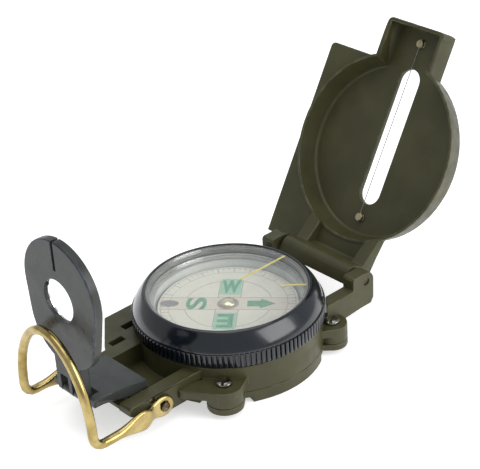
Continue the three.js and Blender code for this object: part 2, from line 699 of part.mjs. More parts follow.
const barrelRadius = PLATE_THICKNESS / 2;
const lensRadius = LENS_OPENING + LENS_SEAT;
const fingerSpans = [
  [-FINGER_SLOT_OUTER, -FINGER_SLOT_INNER],
  [FINGER_SLOT_INNER, FINGER_SLOT_OUTER],
];

function lensArm() {
  const foot = armPinX + 2.2;
  const shoulder = platePinX - RUNNING_GAP;
  const underZ = armPinZ + boxEndInner + RUNNING_GAP - armPinX;
  const coverEdge = armPinX - (rimZ - RUNNING_GAP - armPinZ); // the folded arm is inside the cover past here
  const link = polygon([
    [foot, armPinZ],
    [foot, armPinZ + ARM_BARREL_RADIUS + 0.5],
    [plateBack + 2, armTopZ],
    [shoulder, armTopZ],
    [shoulder, underZ],
    [coverEdge, underZ],
    [armPinX - ARM_BARREL_RADIUS, armPinZ + 0.3 * ARM_BARREL_RADIUS],
    [armPinX, armPinZ],
  ]);
  const endX = platePinX + barrelRadius + RUNNING_GAP;
  const endZ = platePinZ - 0.7;
  const room = polygon([
    [shoulder - PAST, armPinZ],
    [endX, armPinZ],
    [endX, endZ],
    [endX + armTopZ - endZ + PAST, armTopZ + PAST],
    [shoulder - PAST, armTopZ + PAST],
  ]);
  const roomHalf = PLATE_TONGUE + RUNNING_GAP;
  const neck = polygon([
    [endX + 1, platePinZ - FINGER_RADIUS],
    [endX + 1, platePinZ - 0.4],
    [platePinX, platePinZ + 0.6 * FINGER_RADIUS],
    [platePinX, platePinZ - FINGER_RADIUS],
  ]);
  const fingers = fingerSpans.flatMap(([near, far]) => [
    rod(FINGER_RADIUS, near + RUNNING_GAP, far - RUNNING_GAP, platePinX, platePinZ),
    across(neck, near + RUNNING_GAP, far - RUNNING_GAP),
  ]);
  const blade = cut(across(link, -ARM_HALF_WIDTH, ARM_HALF_WIDTH), [across(room, -roomHalf, roomHalf)]);
  const barrel = rod(ARM_BARREL_RADIUS, -ARM_HALF_WIDTH, ARM_HALF_WIDTH, armPinX, armPinZ, 24);
  return cut(joined([barrel, blade, ...fingers]), [
    rod(ARM_PIN_RADIUS + RUNNING_GAP / 2, -forkOuter, forkOuter, armPinX, armPinZ),
    rod(PLATE_PIN_RADIUS + SEAT_GAP, -PLATE_TONGUE, PLATE_TONGUE, platePinX, platePinZ),
  ]);
}

function lensPlate() {
  const lowZ = platePinZ + PLATE_LOW_RISE;
  const topZ = platePinZ + PLATE_TOP_RISE;
  const lensZ = platePinZ + LENS_RISE;
  const egg = along(
    belt([0, lowZ], PLATE_LOW_RADIUS, [PLATE_LEAN, topZ], PLATE_TOP_RADIUS),
    plateFace + PLATE_CHAMFER,
    plateBack - PLATE_CHAMFER,
    {
      bevelEnabled: true,
      bevelThickness: PLATE_CHAMFER,
      bevelSize: PLATE_CHAMFER,
      bevelOffset: -PLATE_CHAMFER,
      bevelSegments: 1,
      curveSegments: 20,
    },
  );
  const tongueTop = lowZ - 0.8 * PLATE_LOW_RADIUS;
  const tongue = block(plateFace, plateBack, -PLATE_TONGUE, PLATE_TONGUE, platePinZ, tongueTop);
  const barrel = rod(barrelRadius, -PLATE_TONGUE, PLATE_TONGUE, platePinX, platePinZ);
  const slotBottom = platePinZ - barrelRadius - PAST;
  const slots = fingerSpans.map(([near, far]) =>
    block(plateFace - PAST, plateBack + PAST, near, far, slotBottom, platePinZ + FINGER_SLOT_RISE));
  const bore = (radius, back, front) => {
    const circle = new THREE.Shape().absarc(0, lensZ, radius, 0, 2 * Math.PI);
    return along(circle, back, front, { curveSegments: 32 });
  };
  return cut(joined([egg, tongue, barrel]), [
    ...slots,
    bore(LENS_OPENING, plateFace - PAST, plateBack + PAST),
    bore(lensRadius + RUNNING_GAP / 2, plateFace + LENS_LIP, plateBack + PAST),
    block(
      plateFace - PAST, plateBack + PAST, -SLIT_WIDTH / 2, SLIT_WIDTH / 2,
      lensZ + LENS_OPENING + SLIT_GAP, topZ + PLATE_TOP_RADIUS + PAST,
    ),
    rod(PLATE_PIN_RADIUS + RUNNING_GAP / 2, -forkOuter, forkOuter, platePinX, platePinZ),
  ]);
}

/** A magnifying lens, bulged on both faces. */
function lensGlass() {
  const front = [];
  const back = [];
  for (let step = 0; step <= 4; step += 1) {
    const share = step / 4;
    const bulge = LENS_BULGE * (1 - share * share);
    front.push([share * lensRadius, LENS_EDGE / 2 + bulge]);
    back.unshift([share * lensRadius, -LENS_EDGE / 2 - bulge]);
  }
  const middle = plateFace + LENS_LIP + RUNNING_GAP / 2 + LENS_EDGE / 2;
  const shape = geometryOf(turned([...front, ...back], 32));
  return solidOf(shape.rotateY(Math.PI / 2).translate(middle, 0, platePinZ + LENS_RISE));
}

const smooth = (value, low, high) => THREE.MathUtils.smoothstep(value, low, high);

/** One half of the loop's centre line with its sections, from the tab's end to the crown. */
function loopStations(side) {
  const tabY = forkOuter + TAB_GAP + TAB_THICKNESS / 2;
  const tip = loopPinX + TAB_HALF_WIDTH;
  const archX = loopEnd + side * LOOP_SKEW;
  const archY = LOOP_SHIFT + side * LOOP_HALF_WIDTH;
  const legEnd = archX + LOOP_BEND;
  const outward = new THREE.Vector3(0, side, 0);
  const stations = [];
  const legSteps = 21;
  for (let step = 0; step <= legSteps; step += 1) {
    const run = (tip - legEnd) * (step / legSteps) ** 1.3;
    const fold = smooth(run, 0.8 * TAB_LENGTH, 1.3 * TAB_LENGTH);
    const round = smooth(run, 1.4 * TAB_LENGTH, 2.6 * TAB_LENGTH);
    const blunt = Math.min(1, (run + 0.12) / TAB_HALF_WIDTH);
    const neck = 1 - TAB_NECK * Math.sin(Math.PI * THREE.MathUtils.clamp(run / TAB_LENGTH - 0.5, 0, 1)) ** 2;
    const flat = neck * TAB_HALF_WIDTH * Math.sqrt(1 - (1 - blunt) ** 2);
    stations.push({
      place: new THREE.Vector3(tip - run, THREE.MathUtils.lerp(side * tabY, archY, fold), loopPinZ),
      ahead: new THREE.Vector3(-1, 0, 0),
      outward,
      width: THREE.MathUtils.lerp(flat, LOOP_WIRE_RADIUS, round),
      depth: THREE.MathUtils.lerp(TAB_THICKNESS / 2, LOOP_WIRE_RADIUS, round),
      square: THREE.MathUtils.lerp(0.45, 1, round),
    });
  }
  const wire = { width: LOOP_WIRE_RADIUS, depth: LOOP_WIRE_RADIUS, square: 1 };
  const bendSteps = 4;
  for (let step = 1; step <= bendSteps; step += 1) {
    const angle = (step / bendSteps) * (Math.PI / 2);
    stations.push({
      place: new THREE.Vector3(
        legEnd - LOOP_BEND * Math.sin(angle),
        archY,
        loopPinZ + LOOP_BEND * (1 - Math.cos(angle)),
      ),
      ahead: new THREE.Vector3(-Math.cos(angle), 0, Math.sin(angle)),
      outward,
      ...wire,
    });
  }
  const archSteps = 14;
  const rise = LOOP_HEIGHT - LOOP_BEND;
  for (let step = 1; step <= archSteps; step += 1) {
    const angle = (step / archSteps) * (Math.PI / 2);
    const ahead = new THREE.Vector3(
      0, -side * LOOP_HALF_WIDTH * Math.sin(angle), rise * Math.cos(angle),
    ).normalize();
    stations.push({
      place: new THREE.Vector3(
        loopEnd + side * LOOP_SKEW * Math.cos(angle),
        LOOP_SHIFT + side * LOOP_HALF_WIDTH * Math.cos(angle),
        loopPinZ + LOOP_BEND + rise * Math.sin(angle),
      ),
      ahead,
      outward: new THREE.Vector3(0, side * ahead.z, -side * ahead.y),
      ...wire,
    });
  }
  return stations;
}

/** Brass wire, hammered flat at both ends, that is bent into the thumb's loop. */
function thumbLoop() {
  const near = loopStations(-1);
  const far = loopStations(1).slice(0, -1).reverse();
  far.forEach((station) => station.ahead.negate());
  const stations = [...near, ...far];
  const sides = 12;
  const positions = [];
  stations.forEach(({ place, ahead, outward, width, depth, square }) => {
    const upward = new THREE.Vector3().crossVectors(ahead, outward);
    for (let k = 0; k < sides; k += 1) {
      const angle = (k / sides) * 2 * Math.PI;
      const bent = (value) => Math.sign(value) * Math.abs(value) ** square;
      const point = place.clone();
      point.addScaledVector(outward, depth * bent(Math.cos(angle)));
      point.addScaledVector(upward, width * bent(Math.sin(angle)));
      positions.push(...point.toArray());
    }
  });
  const index = [];
  for (let s = 0; s + 1 < stations.length; s += 1) {
    for (let k = 0; k < sides; k += 1) {
      const a = s * sides + k;
      const b = s * sides + ((k + 1) % sides);
      index.push(a, b, b + sides, a, b + sides, a + sides);
    }
  }
  const end = (stations.length - 1) * sides;
  for (let k = 1; k + 1 < sides; k += 1) {
    index.push(0, k + 1, k, end, end + k, end + k + 1);
  }
  const geometry = new THREE.BufferGeometry();
  geometry.setAttribute('position', new THREE.Float32BufferAttribute(positions, 3));
  geometry.setIndex(index);
  const hole = rod(LOOP_SCREW_RADIUS + RUNNING_GAP / 2, -2 * forkOuter, 2 * forkOuter, loopPinX, loopPinZ);
  return cut(solidOf(geometry), [hole]);
}

function loopScrew(side) {
  const headFoot = forkOuter + TAB_GAP + TAB_THICKNESS + TAB_GAP / 2;
  const length = headFoot - forkInner - PAST - SEAT_GAP;
  const geometry = geometryOf(screw(LOOP_SCREW_RADIUS, length, LOOP_SCREW_HEAD, 0.6));
  geometry.rotateX((-side * Math.PI) / 2);
  return geometry.translate(loopPinX, side * headFoot, loopPinZ);
}

function earScrew({ x, y }) {
  if (y < 0) {
    const length = earTop - screwTip;
    const geometry = geometryOf(screw(SCREW_RADIUS, length, SCREW_HEAD_RADIUS, SCREW_HEAD_HEIGHT));
    return geometry.rotateZ(0.5).translate(x, y, earTop + SEAT_GAP);
  }
  const length = earTop - EAR_THICKNESS - farHeadTop - SEAT_GAP;
  const geometry = geometryOf(screw(SCREW_RADIUS, length, SCREW_HEAD_RADIUS, SCREW_HEAD_HEIGHT));
  return geometry.rotateX(Math.PI).translate(x, y, farHeadTop);
}

function paint(color, roughness, metalness) {
  return new THREE.MeshStandardMaterial({ color, roughness, metalness });
}

const OLIVE = paint(0x4b4933, 0.55, 0.1);
const BLACK = paint(0x14161a, 0.25, 0.1);
const SATIN = paint(0x24262c, 0.4, 0.2);
const BRASS = paint(0xc09a4a, 0.25, 1);
const STEEL = paint(0x8c8c88, 0.35, 1);
const CLEAR = paint(0xe8f0ee, 0.05, 0);
const PALE = paint(0xb9bab2, 0.5, 0);
const CARD = paint(0xe6e4d6, 0.6, 0);
const RUBBER = paint(0x1a1a1a, 0.8, 0);

const compass = new THREE.Group();
compass.name = 'lensatic_compass';

function place(group, name, shape, material) {
  const geometry = shape.isBufferGeometry ? shape : geometryOf(shape);
  const mesh = new THREE.Mesh(geometry, material);
  mesh.name = name;
  group.add(mesh);
}

place(compass, 'base_housing', housing(), OLIVE);
place(compass, 'bottom_plate', bottomPlate(), OLIVE);
EARS.forEach((ear) => place(compass, `ear_screw_${ear.name}`, earScrew(ear), STEEL));

place(compass, 'capsule_bowl', capsuleBowl(), PALE);
place(compass, 'capsule_seal', ring(
  CAPSULE_RADIUS - CAPSULE_WALL, CAPSULE_RADIUS, sealBottom, sealBottom + SEAL_THICKNESS, 48,
), RUBBER);
place(compass, 'capsule_window', disc(CAPSULE_RADIUS, windowBottom, windowTop), CLEAR);
place(compass, 'pivot_pin', pivotPin(), STEEL);

const dial = new THREE.Group();
dial.name = 'dial';
dial.rotation.z = DIAL_NORTH * DEGREE;
compass.add(dial);
const dialRadius = CAPSULE_RADIUS - CAPSULE_WALL - DIAL_MARGIN;
place(dial, 'dial_card', ring(skirtRadius + SEAT_GAP, dialRadius, cardBottom, cardTop), CARD);
place(dial, 'dial_magnet', magnet(), STEEL);
place(dial, 'jewel_cap', jewelCap(), BRASS);

place(compass, 'bezel_ring', bezelRing(), BLACK);
place(compass, 'bezel_glass', disc(glassRadius, glassBottom, glassBottom + GLASS_THICKNESS), CLEAR);
place(compass, 'bezel_retaining_ring', retainingRing(), STEEL);

const cover = new THREE.Group();
cover.name = 'cover';
cover.position.set(hingeX, 0, hingeZ);
cover.rotation.y = COVER_OPENING * DEGREE;
compass.add(cover);
const fromHinge = (solid) => geometryOf(solid).translate(-hingeX, 0, -hingeZ);
place(cover, 'cover_shell', fromHinge(coverShell()), OLIVE);
place(cover, 'sight_wire', fromHinge(sightWire()), STEEL);
anchorPlaces.forEach(({ name, x }) => place(cover, name, fromHinge(wireAnchor(x)), OLIVE));
const hingeHalf = lugOuter - 0.4;
place(compass, 'hinge_pin', rod(
  HINGE_PIN_RADIUS, HINGE_SHIFT - hingeHalf, HINGE_SHIFT + hingeHalf, hingeX, hingeZ,
), STEEL);

place(compass, 'lens_arm', lensArm(), SATIN);
const armPinHalf = forkOuter - 0.3;
place(compass, 'lens_arm_pin', rod(ARM_PIN_RADIUS, -armPinHalf, armPinHalf, armPinX, armPinZ), STEEL);
place(compass, 'lens_plate', lensPlate(), SATIN);
const platePinHalf = PLATE_TONGUE - 0.2;
place(compass, 'lens_plate_pin', rod(
  PLATE_PIN_RADIUS, -platePinHalf, platePinHalf, platePinX, platePinZ,
), STEEL);
place(compass, 'lens', lensGlass(), CLEAR);

place(compass, 'thumb_loop', thumbLoop(), BRASS);
place(compass, 'loop_screw_near', loopScrew(-1), STEEL);
place(compass, 'loop_screw_far', loopScrew(1), STEEL);

export default compass;
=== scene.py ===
"""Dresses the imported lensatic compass: finishes, rounded castings, printed dial, studio and camera."""

import logging
import math
from dataclasses import dataclass
from enum import Enum
from typing import Callable, Iterable, Optional, Sequence, Union

import bmesh
import bpy
from mathutils import Matrix, Vector


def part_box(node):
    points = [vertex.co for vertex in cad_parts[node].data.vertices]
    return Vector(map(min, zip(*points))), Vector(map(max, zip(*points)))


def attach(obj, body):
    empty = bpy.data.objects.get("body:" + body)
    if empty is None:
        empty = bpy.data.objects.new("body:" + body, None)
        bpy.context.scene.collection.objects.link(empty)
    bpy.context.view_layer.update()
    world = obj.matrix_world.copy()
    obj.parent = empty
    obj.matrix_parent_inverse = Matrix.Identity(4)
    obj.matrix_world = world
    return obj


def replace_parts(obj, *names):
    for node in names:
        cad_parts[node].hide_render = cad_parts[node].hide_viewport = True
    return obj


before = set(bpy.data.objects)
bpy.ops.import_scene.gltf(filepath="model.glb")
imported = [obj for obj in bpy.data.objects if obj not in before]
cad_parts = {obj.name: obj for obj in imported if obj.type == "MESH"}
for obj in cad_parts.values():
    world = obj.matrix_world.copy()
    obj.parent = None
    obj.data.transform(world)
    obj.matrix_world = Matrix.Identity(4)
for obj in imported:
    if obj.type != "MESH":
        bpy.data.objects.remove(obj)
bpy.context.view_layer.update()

LOG = logging.getLogger("compass")
MM = 0.001
NORTH = math.radians(-48.0)
BMesh = bmesh.types.BMesh
Material = bpy.types.Material
Node = bpy.types.Node
Object = bpy.types.Object
Socket = bpy.types.NodeSocket
Tree = bpy.types.NodeTree
Triple = tuple[float, float, float]
Pair = tuple[float, float]
Source = Union[Socket, float, Sequence[float]]
Inputs = dict[str, Source]


class Body(str, Enum):
    """The moving bodies that pieces ride on."""

    BASE = "base"
    BEZEL = "bezel"
    DIAL = "dial"
    COVER = "cover"
    LENS_ARM = "lens_arm"
    LENS_PLATE = "lens_plate"
    LOOP = "thumb_loop"


class Slot(str, Enum):
    """The record's material slots, named for each new piece."""

    OLIVE = "olive_paint"
    ENAMEL = "black_enamel"
    SATIN = "black_satin"
    BRASS = "brass"
    STEEL = "steel"
    CLEAR = "clear"
    CARD = "dial_face"


def tone(red: int, green: int, blue: int) -> Triple:
    """Turns a display colour, each part from 0 to 255, into a linear one."""
    shares = (value / 255 for value in (red, green, blue))
    return tuple(s / 12.92 if s <= 0.04045 else ((s + 0.055) / 1.055) ** 2.4 for s in shares)


def axis_of(node: str) -> Pair:
    """Returns the X and Z of a cross pin's axis in millimetres."""
    low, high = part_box(node)
    return ((low.x + high.x) / 2 / MM, (low.z + high.z) / 2 / MM)


def arc(centre: Pair, radius: float, start: float, end: float, steps: int) -> list[Pair]:
    """Lists the points of an arc from one angle in degrees to another, both ends among them."""
    turns = [math.radians(start + (end - start) * step / steps) for step in range(steps + 1)]
    return [(centre[0] + radius * math.cos(turn), centre[1] + radius * math.sin(turn)) for turn in turns]


def strip(start: float, end: float, half: float) -> list[Pair]:
    """Lists the corners of a band along X."""
    return [(start, -half), (end, -half), (end, half), (start, half)]


def placed(name: str, data: bpy.types.ID) -> Object:
    """Links a new object with the given data to the scene."""
    item = bpy.data.objects.new(name, data)
    bpy.context.scene.collection.objects.link(item)
    return item


class Graph:
    """Adds and links the nodes of one material or node group."""

    def __init__(self, tree: Tree) -> None:
        """Takes the tree to work in and empties it."""
        self.tree = tree
        self.tree.nodes.clear()

    def feed(self, node: Node, inputs: dict) -> None:
        """Links a node's inputs, or sets their values.

        Args:
            node: The node.
            inputs: Output sockets, numbers, vectors or colours, by the input's name or number.
        """
        for key, value in inputs.items():
            socket = node.inputs[key]
            if isinstance(value, Socket):
                self.tree.links.new(value, socket)
            elif socket.type == "RGBA" and len(value) == 3:
                socket.default_value = (*value, 1.0)
            else:
                socket.default_value = value

    def add(self, kind: str, inputs: Optional[dict] = None, **settings) -> Node:
        """Adds a node.

        Args:
            kind: The node's type, without the ShaderNode prefix.
            inputs: Values or sockets for its inputs, by name or number.
            **settings: The node's own properties.

        Returns:
            The new node.
        """
        node = self.tree.nodes.new(f"ShaderNode{kind}")
        for name, value in settings.items():
            setattr(node, name, value)
        self.feed(node, inputs or {})
        return node

    def math(self, operation: str, *values: Source) -> Socket:
        """Adds a math node and returns its result."""
        return self.add("Math", dict(enumerate(values)), operation=operation).outputs[0]

    def fold(self, operation: str, values: Sequence[Source]) -> Source:
        """Joins several values by one operation and returns the result."""
        result = values[0]
        for value in values[1:]:
            result = self.math(operation, result, value)
        return result

    def blend(self, share: Source, first: Source, second: Source) -> Socket:
        """Mixes two colours by a share and returns the result."""
        return self.add("Mix", {0: share, 6: first, 7: second}, data_type="RGBA").outputs[2]

    def spread(self, value: Source, low: float, high: float) -> Socket:
        """Carries a value from 0..1 to low..high."""
        return self.add("MapRange", {"Value": value, "To Min": low, "To Max": high}).outputs[0]

    def step(self, value: Source, start: float, end: float) -> Socket:
        """Rises smoothly from 0 at start to 1 at end."""
        inputs = {"Value": value, "From Min": start, "From Max": end}
        return self.add("MapRange", inputs, interpolation_type="SMOOTHSTEP").outputs[0]

    def place(self) -> Socket:
        """Returns the piece's own coordinates."""
        return self.add("TexCoord").outputs["Object"]

    def noise(self, scale: Source, detail: float) -> Socket:
        """Adds noise in the piece's own coordinates and returns it."""
        inputs = {"Vector": self.place(), "Scale": scale, "Detail": detail}
        return self.add("TexNoise", inputs).outputs[0]

    def bump(self, strength: float, depth: float, height: Source) -> Socket:
        """Adds a bump with a depth in millimetres and returns its normal."""
        inputs = {"Strength": strength, "Distance": depth * MM, "Height": height}
        return self.add("Bump", inputs).outputs[0]

    def group(self, tree: Tree, value: Source) -> Socket:
        """Places a shared effect with its own value and returns its result."""
        return self.add("Group", {0: value}, node_tree=tree).outputs[0]


def shared_effect(name: str, control: str, fill: Callable[[Graph, Socket], Socket]) -> Tree:
    """Builds a node group with one control and one result.

    Args:
        name: The group's name.
        control: Its input's name.
        fill: Makes the nodes from the input's socket and returns the result's socket.

    Returns:
        The node group.
    """
    tree = bpy.data.node_groups.new(name, "ShaderNodeTree")
    for label, way in ((control, "INPUT"), ("Result", "OUTPUT")):
        tree.interface.new_socket(label, in_out=way, socket_type="NodeSocketFloat")
    graph = Graph(tree)
    entry = tree.nodes.new("NodeGroupInput")
    leave = tree.nodes.new("NodeGroupOutput")
    tree.links.new(fill(graph, entry.outputs[0]), leave.inputs[0])
    return tree


class Effects:
    """The surface effects that several finishes share."""

    def __init__(self) -> None:
        """Builds each group once."""
        self.drift = shared_effect("tone_drift", "Scale", self._drift)
        self.grain = shared_effect("paint_grain", "Scale", self._grain)
        # The edge effect paints both rubbed paint and a painted highlight along the rounded edges.
        self.edge_sheen_and_wear = shared_effect("edge_wear_and_sheen", "Amount", self._edge_sheen_and_wear)
        self.hairlines = shared_effect("hairlines", "Scale", self._hairlines)

    @staticmethod
    def _drift(graph: Graph, scale: Socket) -> Socket:
        """Slow change of tone over a surface."""
        return graph.step(graph.noise(scale, 4.0), 0.32, 0.68)

    @staticmethod
    def _grain(graph: Graph, scale: Socket) -> Socket:
        """Fine orange peel of sprayed paint on a casting, over a broader one."""
        fine = graph.noise(scale, 3.0)
        broad = graph.noise(graph.math("MULTIPLY", scale, 0.17), 2.0)
        return graph.math("ADD", fine, broad)

    @staticmethod
    def _edge_sheen_and_wear(graph: Graph, amount: Socket) -> Socket:
        """Wear and a painted highlight that follow the rounded edges, broken up along them."""
        edge = graph.add("Attribute", attribute_name="edge").outputs["Fac"]
        patchy = graph.step(graph.noise(420.0, 5.0), 0.42, 0.62)
        return graph.fold("MULTIPLY", [edge, patchy, amount])

    @staticmethod
    def _hairlines(graph: Graph, scale: Socket) -> Socket:
        """Short fine scratches of handled metal."""
        stretched = graph.add("Mapping", {"Vector": graph.place(), "Scale": (1.0, 9.0, 9.0)}).outputs[0]
        inputs = {"Vector": stretched, "Scale": scale, "Detail": 6.0, "Distortion": 0.6}
        return graph.step(graph.add("TexNoise", inputs).outputs[0], 0.52, 0.66)


@dataclass(frozen=True)
class Finish:
    """A Principled surface, which each kind of finish fills in."""

    name: str

    def material(self, effects: Effects) -> Material:
        """Builds the finish.

        Args:
            effects: The shared effects.

        Returns:
            The material.
        """
        material = bpy.data.materials.new(self.name)
        material.use_nodes = True
        graph = Graph(material.node_tree)
        shader = graph.add("BsdfPrincipled", self.inputs(graph, effects))
        graph.add("OutputMaterial", {"Surface": self.output(graph, shader.outputs[0])})
        return material

    def inputs(self, graph: Graph, effects: Effects) -> Inputs:
        """Returns the shader's inputs that differ from their defaults."""
        raise NotImplementedError

    def output(self, graph: Graph, shader: Socket) -> Socket:
        """Returns what goes to the material's output."""
        return shader


@dataclass(frozen=True)
class Paint(Finish):
    """Sprayed paint on cast metal, a little paler on its rounded edges: partly rubbed paint, partly a
    painted highlight.
    """

    dark: Triple
    light: Triple
    # Edge colour: paler rubbed paint, and partly a painted highlight on the rounded edges.
    edge: Triple
    gloss: Pair
    grain: float = 2200.0
    depth: float = 0.12
    # How strongly the edges take that colour, wear and painted highlight together.
    sheen_and_wear: float = 0.5

    def inputs(self, graph: Graph, effects: Effects) -> Inputs:
        """Mixes the coat, its paler edges (rubbed paint with a painted highlight) and its grain."""
        coat = graph.blend(graph.group(effects.drift, 95.0), self.dark, self.light)
        # Rounded edges take the edge colour, a painted highlight mixed with rubbed paint.
        edge_sheen_and_wear = graph.group(effects.edge_sheen_and_wear, self.sheen_and_wear)
        patches = graph.group(effects.drift, 310.0)
        return {
            "Base Color": graph.blend(edge_sheen_and_wear, coat, self.edge),
            "Roughness": graph.spread(patches, *self.gloss),
            "Normal": graph.bump(self.depth, 0.05, graph.group(effects.grain, self.grain)),
            "Specular IOR Level": 0.32,
        }


@dataclass(frozen=True)
class Metal(Finish):
    """Bare metal with hairlines and a slightly uneven polish."""

    bright: Triple
    dull: Triple
    gloss: Pair
    scratches: float = 0.35

    def inputs(self, graph: Graph, effects: Effects) -> Inputs:
        """Mixes the polish and the scratches."""
        share = graph.group(effects.drift, 260.0)
        lines = graph.group(effects.hairlines, 700.0)
        polish = graph.blend(share, self.dull, self.bright)
        return {
            "Base Color": graph.blend(graph.math("MULTIPLY", lines, self.scratches), polish, self.dull),
            "Roughness": graph.spread(share, *self.gloss),
            "Normal": graph.bump(0.08, 0.02, lines),
            "Metallic": 1.0,
        }


@dataclass(frozen=True)
class Enamel(Finish):
    """Deep gloss enamel with fine dust."""

    colour: Triple
    dust: Triple
    gloss: Pair
    dusting: float = 0.35

    def inputs(self, graph: Graph, effects: Effects) -> Inputs:
        """Mixes the enamel and the dust under a thin coat."""
        share = graph.group(effects.drift, 150.0)
        specks = graph.step(graph.noise(3800.0, 2.0), 0.6, 0.72)
        dusty = graph.math("MULTIPLY", specks, graph.math("MULTIPLY", share, self.dusting))
        return {
            "Base Color": graph.blend(dusty, self.colour, self.dust),
            "Roughness": graph.spread(share, *self.gloss),
            "Normal": graph.bump(0.05, 0.03, graph.group(effects.grain, 900.0)),
            "Coat Weight": 0.3,
            "Coat Roughness": 0.08,
        }


@dataclass(frozen=True)
class Moulding(Finish):
    """Plain moulded plastic or rubber with a soft skin."""

    colour: Triple
    shade: Triple
    gloss: Pair

    def inputs(self, graph: Graph, effects: Effects) -> Inputs:
        """Mixes the two shades of the skin."""
        share = graph.group(effects.drift, 180.0)
        return {
            "Base Color": graph.blend(share, self.colour, self.shade),
            "Roughness": graph.spread(share, *self.gloss),
            "Normal": graph.bump(0.06, 0.03, graph.group(effects.grain, 3500.0)),
        }


@dataclass(frozen=True)
class Clear(Finish):
    """Clear glass that lets the lamps through."""

    tint: Triple
    index: float = 1.36
    smear: Pair = (0.0, 0.015)

    def inputs(self, graph: Graph, effects: Effects) -> Inputs:
        """Sets the glass, with a faint smear."""
        return {
            "Base Color": self.tint,
            "Roughness": graph.spread(graph.group(effects.drift, 60.0), *self.smear),
            "Transmission Weight": 1.0,
            "IOR": self.index,
        }

    def output(self, graph: Graph, shader: Socket) -> Socket:
        """Lets shadow rays straight through."""
        through = graph.add("BsdfTransparent", {"Color": self.tint}).outputs[0]
        ray = graph.add("LightPath").outputs["Is Shadow Ray"]
        return graph.add("MixShader", {0: ray, 1: shader, 2: through}).outputs[0]


@dataclass(frozen=True)
class Ink(Finish):
    """Printed or luminous paint, thin and slightly uneven."""

    colour: Triple
    pale: Triple
    gloss: Pair = (0.5, 0.7)

    def inputs(self, graph: Graph, effects: Effects) -> Inputs:
        """Mixes the two shades of the print."""
        share = graph.group(effects.drift, 900.0)
        return {
            "Base Color": graph.blend(share, self.colour, self.pale),
            "Roughness": graph.spread(share, *self.gloss),
        }


@dataclass(frozen=True)
class Backdrop(Finish):
    """Matt white that glows a little, so that the floor stays pale."""

    white: Triple = (0.9, 0.9, 0.9)
    glow: float = 0.5

    def inputs(self, graph: Graph, effects: Effects) -> Inputs:
        """Sets the plain values."""
        return {
            "Base Color": self.white,
            "Roughness": 0.9,
            "Specular IOR Level": 0.1,
            "Emission Color": (1.0, 1.0, 1.0),
            "Emission Strength": self.glow,
        }


@dataclass(frozen=True)
class DialPrint(Finish):
    """The card's printed face: degree ticks, rings, the long bar and the two panels, with a painted shadow
    ring round the jewel cap.

    Radii, ends and half widths are in millimetres. The last four values are shares.
    """

    ground: Triple
    bar: Triple
    line: Triple
    gloss: Pair = (0.45, 0.6)
    bar_half: float = 2.85
    bar_end: float = 17.9
    panel_half: float = 2.95
    panel_end: float = 10.9
    ring: float = 11.3
    scale_inner: float = 15.4
    scale_outer: float = 17.5
    # Radius and half width of a painted shadow ring round the jewel cap.
    cap_shadow_radius: float = 2.5
    cap_shadow_half: float = 0.3
    hairline: float = 0.07
    fine: float = 0.09
    stroke: float = 0.1
    bold: float = 0.13
    fine_ticks: int = 72
    bold_ticks: int = 24
    fine_start: float = 1.1
    softness: Pair = (0.6, 1.4)
    tint: float = 0.75
    mottle: float = 0.25
    ink: float = 0.7

    def inputs(self, graph: Graph, effects: Effects) -> Inputs:
        """Draws the print in polar and turned coordinates."""
        turned = graph.add("Mapping", {
            "Vector": graph.place(),
            "Rotation": (0.0, 0.0, -NORTH),
            "Scale": (1 / MM, 1 / MM, 1 / MM),
        }, vector_type="POINT").outputs[0]
        axes = graph.add("SeparateXYZ", {0: turned})
        along, aside = axes.outputs[0], axes.outputs[1]
        far = graph.math("ABSOLUTE", along)
        wide = graph.math("ABSOLUTE", aside)
        squares = [graph.math("MULTIPLY", axis, axis) for axis in (along, aside)]
        radius = graph.math("SQRT", graph.math("ADD", *squares))
        angle = graph.math("ARCTAN2", aside, along)

        def soft(off: Source, half: float) -> Socket:
            """1 on a line of the given half width, falling softly to 0 beside it."""
            inner, outer = self.softness
            return graph.math("SUBTRACT", 1.0, graph.step(off, inner * half, outer * half))

        def near(value: Source, centre: float, half: float) -> Socket:
            """A soft line round a value."""
            return soft(graph.math("ABSOLUTE", graph.math("SUBTRACT", value, centre)), half)

        def under(value: Source, limit: float) -> Socket:
            """1 where the value is below a limit."""
            return graph.math("LESS_THAN", value, limit)

        def both(*masks: Source) -> Source:
            """The product of several masks."""
            return graph.fold("MULTIPLY", masks)

        def ticks(count: int, half: float, inner: float) -> Source:
            """Evenly spread radial ticks between a radius and the outer ring."""
            turns = graph.math("MULTIPLY", angle, count / (2 * math.pi))
            phase = graph.math("ABSOLUTE", graph.math("SUBTRACT", graph.math("FRACT", turns), 0.5))
            reach = graph.math("MULTIPLY", graph.math("SUBTRACT", 0.5, phase), 2 * math.pi / count)
            mark = soft(graph.math("MULTIPLY", reach, radius), half)
            return both(mark, graph.math("GREATER_THAN", radius, inner), under(radius, self.scale_outer))

        off_bar = graph.math("GREATER_THAN", wide, self.bar_half)
        drawn = graph.fold("MAXIMUM", [
            near(radius, self.scale_outer, self.fine),
            # A painted shadow ring round the jewel cap, drawn in the line colour.
            near(radius, self.cap_shadow_radius, self.cap_shadow_half),
            near(radius, self.scale_inner, self.hairline),
            both(near(radius, self.ring, self.stroke), off_bar),
            both(near(wide, self.bar_half, self.stroke), under(far, self.bar_end)),
            both(near(far, self.panel_half, self.stroke), under(wide, self.panel_end), off_bar),
            ticks(self.fine_ticks, self.fine, self.scale_inner + self.fine_start),
            ticks(self.bold_ticks, self.bold, self.scale_inner),
        ])
        band = both(under(wide, self.bar_half), under(far, self.bar_end))
        panels = both(under(far, self.panel_half), under(wide, self.panel_end))
        tinted = graph.math("MULTIPLY", graph.math("MAXIMUM", band, panels), self.tint)
        share = graph.group(effects.drift, 120.0)
        paper = graph.blend(graph.math("MULTIPLY", share, self.mottle), self.ground, self.bar)
        face = graph.blend(tinted, paper, self.bar)
        return {
            "Base Color": graph.blend(graph.math("MULTIPLY", drawn, self.ink), face, self.line),
            "Roughness": graph.spread(share, *self.gloss),
        }


